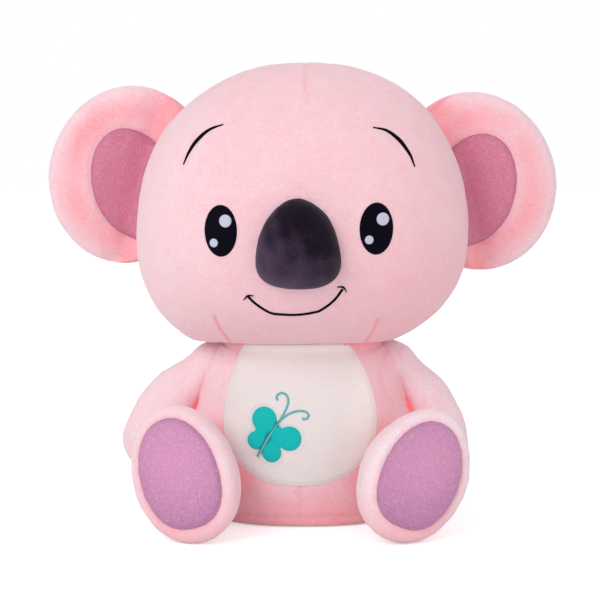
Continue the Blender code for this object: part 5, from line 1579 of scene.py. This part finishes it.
# %% Eyes
EYE_HALF = (0.0104, 0.0162)
EYES = {"right": (-0.0486, 0.1957), "left": (0.0484, 0.1974)}
GLINTS = {"right": (((-0.0453, 0.2020), 0.0038), ((-0.0525, 0.1882), 0.0026)),
          "left": (((0.0519, 0.2033), 0.0038), ((0.0437, 0.1907), 0.0026))}
EYE_RISE = {"top": 0.0006, "crown": 0.0006}
GLINT_RISE = {"top": 0.0016, "crown": 0.0003, "base": 0.0006}
GLINT_TALL = 1.04

for side, centre in EYES.items():
    eye = stitched_oval(f"{side}_eye_stitches", centre, EYE_HALF, black_thread, **EYE_RISE)
    eye.data.transform(turned)
    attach(eye, "head")
    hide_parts(f"{side}_eye")
    for (spot, radius), name in zip(GLINTS[side], ("upper", "lower")):
        half = (radius, radius * GLINT_TALL)
        glint = stitched_oval(f"{side}_{name}_glint", spot, half, white_thread, **GLINT_RISE)
        glint.data.transform(turned)
        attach(glint, "head")
        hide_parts(f"{side}_eye_{name}_glint")
print("eyes", round(2000 * EYE_HALF[0]), "by", round(2000 * EYE_HALF[1]), "mm")

# %% Brows and mouth
BROWS = {"right": ((-0.0735, 0.2357), (-0.0700, 0.2432), (-0.0644, 0.2510), (-0.0565, 0.2575),
                   (-0.0477, 0.2607)),
         "left": ((0.0722, 0.2345), (0.0690, 0.2425), (0.0630, 0.2510), (0.0550, 0.2570),
                  (0.0460, 0.2593))}
BROW_WIDTHS = (0.0006, 0.0019, 0.0026, 0.0019, 0.0006)
MOUTH = ((-0.0319, 0.1546), (-0.0268, 0.1495), (-0.0186, 0.1439), (-0.0109, 0.1426), (-0.0001, 0.1421),
         (0.0100, 0.1436), (0.0140, 0.1450), (0.0220, 0.1515), (0.0277, 0.1592))
MOUTH_WIDTH = 0.0018
MOUTH_ENDS = {"right": ((-0.0346, 0.1519), (-0.0319, 0.1547), (-0.0281, 0.1552)),
              "left": ((0.0241, 0.1608), (0.0280, 0.1604), (0.0301, 0.1570))}
BAR_WIDTHS = (0.0005, 0.0014, 0.0005)
BAR_TOP = 0.0008

for side, path in BROWS.items():
    brow = stitched_line(f"{side}_brow_stitches", face_place, path, BROW_WIDTHS, black_thread)
    brow.data.transform(turned)
    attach(brow, "head")
    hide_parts(f"{side}_brow")
mouth_widths = [MOUTH_WIDTH] * len(MOUTH)
mouth = stitched_line("mouth_stitches", face_place, MOUTH, mouth_widths, black_thread, count=200)
mouth.data.transform(turned)
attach(mouth, "head")
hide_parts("mouth")
for side, path in MOUTH_ENDS.items():
    bar = stitched_line(f"{side}_mouth_bar", face_place, path, BAR_WIDTHS, black_thread, BAR_TOP, 40)
    bar.data.transform(turned)
    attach(bar, "head")
print("mouth line", round(1000 * MOUTH_WIDTH, 1), "mm wide")

# %% [markdown]
# ## Butterfly
# A common four-lobed butterfly is sewn on the belly. Each lobe is padded, the body is a
# pale line between two dark ones, the antennae are thin curls, and a fine pale line of
# stitches runs round the wings where the backing was trimmed.
# The lobes could be ovals side by side. One mesh for all four was chosen, so that they meet
# in soft valleys as padded stitching does, and the fine line can follow the same outline.

# %% Butterfly sizes
HUB = (-0.0211, 0.0609)
HUB_RADIUS = 0.0040
LOBES = ((-0.0248, 0.0709, 0.0079), (-0.0300, 0.0576, 0.0058), (-0.0201, 0.0500, 0.0062),
         (-0.0086, 0.0591, 0.0077), (-0.0268, 0.0634, 0.0040), (-0.0177, 0.0634, 0.0045),
         (-0.0155, 0.0580, 0.0045))
WING_ROWS = 50
WING_COLUMNS = 320
WING_BASE = -0.0004
WING_TOP = 0.0006
WING_CENTRE_LIFT = 0.0008
PUFF_RISE = 0.0014
PUFF_SPREAD = 1.1
PUFF_EDGE = 4
HALO_GAP = 0.0017
HALO_WIDTH = 0.0007
CURL_WIDTH = 0.0016
BODY_LINE = ((-0.0155, 0.0698), (-0.0190, 0.0650), (-0.0228, 0.0590), (-0.0262, 0.0528),
             (-0.0292, 0.0475))
DARK_WIDTHS = (0.0008, 0.0019, 0.0026, 0.0022, 0.0008)
PALE_WIDTHS = (0.0004, 0.0009, 0.0014, 0.0011, 0.0004)
PALE_OFF = (0.0004, -0.0002)
ANTENNAE = {"upper": ((-0.0160, 0.0688), (-0.0134, 0.0728), (-0.0108, 0.0775), (-0.0094, 0.0822),
                      (-0.0104, 0.0856), (-0.0132, 0.0872), (-0.0160, 0.0862), (-0.0170, 0.0842),
                      (-0.0162, 0.0826)),
            "lower": ((-0.0152, 0.0696), (-0.0112, 0.0731), (-0.0070, 0.0753), (-0.0022, 0.0763),
                      (0.0020, 0.0756), (0.0036, 0.0733), (0.0020, 0.0714), (-0.0006, 0.0716))}


def wing_reach(turns, extra=0.0):
    """How far the wings reach from their hub in each direction."""
    reach = np.full(len(turns), HUB_RADIUS + extra)
    for x, z, radius in LOBES:
        lobe = np.array([x - HUB[0], z - HUB[1]])
        along = lobe[0] * np.cos(turns) + lobe[1] * np.sin(turns)
        inside = (radius + extra) ** 2 - ((lobe**2).sum() - along**2)
        reach = np.maximum(reach, np.where(inside > 0, along + np.sqrt(np.maximum(inside, 0)), 0))
    return reach


print("the wings are drawn from", len(LOBES), "circles")

# %% Butterfly wings
turns = np.linspace(0, math.tau, WING_COLUMNS, endpoint=False)
reach = wing_reach(turns)
rows = []
for share in np.linspace(INNERMOST, 1, WING_ROWS):
    x, z = HUB[0] + reach * share * np.cos(turns), HUB[1] + reach * share * np.sin(turns)
    puff = np.zeros(len(turns))
    for lobe_x, lobe_z, radius in LOBES:
        off = ((x - lobe_x) ** 2 + (z - lobe_z) ** 2) / (PUFF_SPREAD * radius) ** 2
        puff = np.maximum(puff, np.sqrt(np.maximum(0, 1 - off)))
    lift = WING_BASE + (WING_TOP - WING_BASE) * float(round_share(share, STITCH_EDGE))
    rows.append(belly_place(x, z, lift + PUFF_RISE * puff * float(round_share(share, PUFF_EDGE))))
first = belly_place(np.array([HUB[0]]), np.array([HUB[1]]), np.array([WING_CENTRE_LIFT]))[0]
wings = stacked("butterfly_padded_wings", rows, teal_thread, first=first)
facing_out(wings, (0, 0, 0.06))
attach(wings, "torso")
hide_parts("butterfly_wings")
print("wings:", len(wings.data.polygons), "faces")

# %% Butterfly edge, body and antennae
halo_reach = wing_reach(turns, HALO_GAP)
halo_path = [(HUB[0] + r * math.cos(t), HUB[1] + r * math.sin(t)) for t, r in zip(turns, halo_reach)]
halo_path.append(halo_path[0])
halo_widths = [HALO_WIDTH] * len(halo_path)
halo = stitched_line("butterfly_edge_stitches", belly_place, halo_path, halo_widths, halo_thread,
                     top=0.0003, count=400, base=-0.0004)
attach(halo, "torso")

dark = stitched_line("butterfly_body_edge", belly_place, BODY_LINE, DARK_WIDTHS, deep_teal_thread,
                     top=0.0021, count=80, base=0.0)
pale_line = [(x + PALE_OFF[0], z + PALE_OFF[1]) for x, z in BODY_LINE]
pale = stitched_line("butterfly_body_stitches", belly_place, pale_line, PALE_WIDTHS, pale_teal_thread,
                     top=0.0026, count=80, base=0.0)
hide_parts("butterfly_body")
for thing in (dark, pale):
    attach(thing, "torso")
for name, path in ANTENNAE.items():
    widths = [CURL_WIDTH] * len(path)
    antenna = stitched_line(f"butterfly_{name}_curl", belly_place, path, widths, curl_thread,
                            top=0.0006, base=-0.0003)
    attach(antenna, "torso")
    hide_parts(f"butterfly_{name}_antenna")
print("antennae:", len(ANTENNAE))

# %% [markdown]
# ## Neck seam
# Under the chin the two covers are gathered and sewn in a narrow ring, which the head hides.
# A plain band would nearly do. Waves round it are as easy, and they show what holds the head.

# %% Neck seam
NECK_RING = 0.0428
NECK_ROWS = 12
NECK_COLUMNS = 240
NECK_TURNS = (math.radians(38), math.radians(22))
NECK_GATHERS = 36
NECK_GATHER_DEPTH = 0.0005

turns = np.linspace(0, math.tau, NECK_COLUMNS, endpoint=False)
gather = NECK_RING + NECK_GATHER_DEPTH * np.cos(turns * NECK_GATHERS)
rows = []
for level in np.linspace(*NECK_TURNS, NECK_ROWS):
    out = gather * math.sin(level)
    rows.append(np.stack([out * np.cos(turns), out * np.sin(turns),
                          NECK_HEIGHT + gather * math.cos(level)], axis=-1))
band = stacked("neck_gather", rows, pink_plush)
facing_out(band, (0, 0, NECK_HEIGHT))
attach(band, "neck")
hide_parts("neck_band")
print("neck gather:", len(band.data.polygons), "faces")

# %% Finish
bpy.context.scene.view_settings.view_transform = "Standard"
low, high = ([float(value) for value in corner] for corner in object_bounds())
print("dressed box in mm:", [round(1000 * (b - a)) for a, b in zip(low, high)])
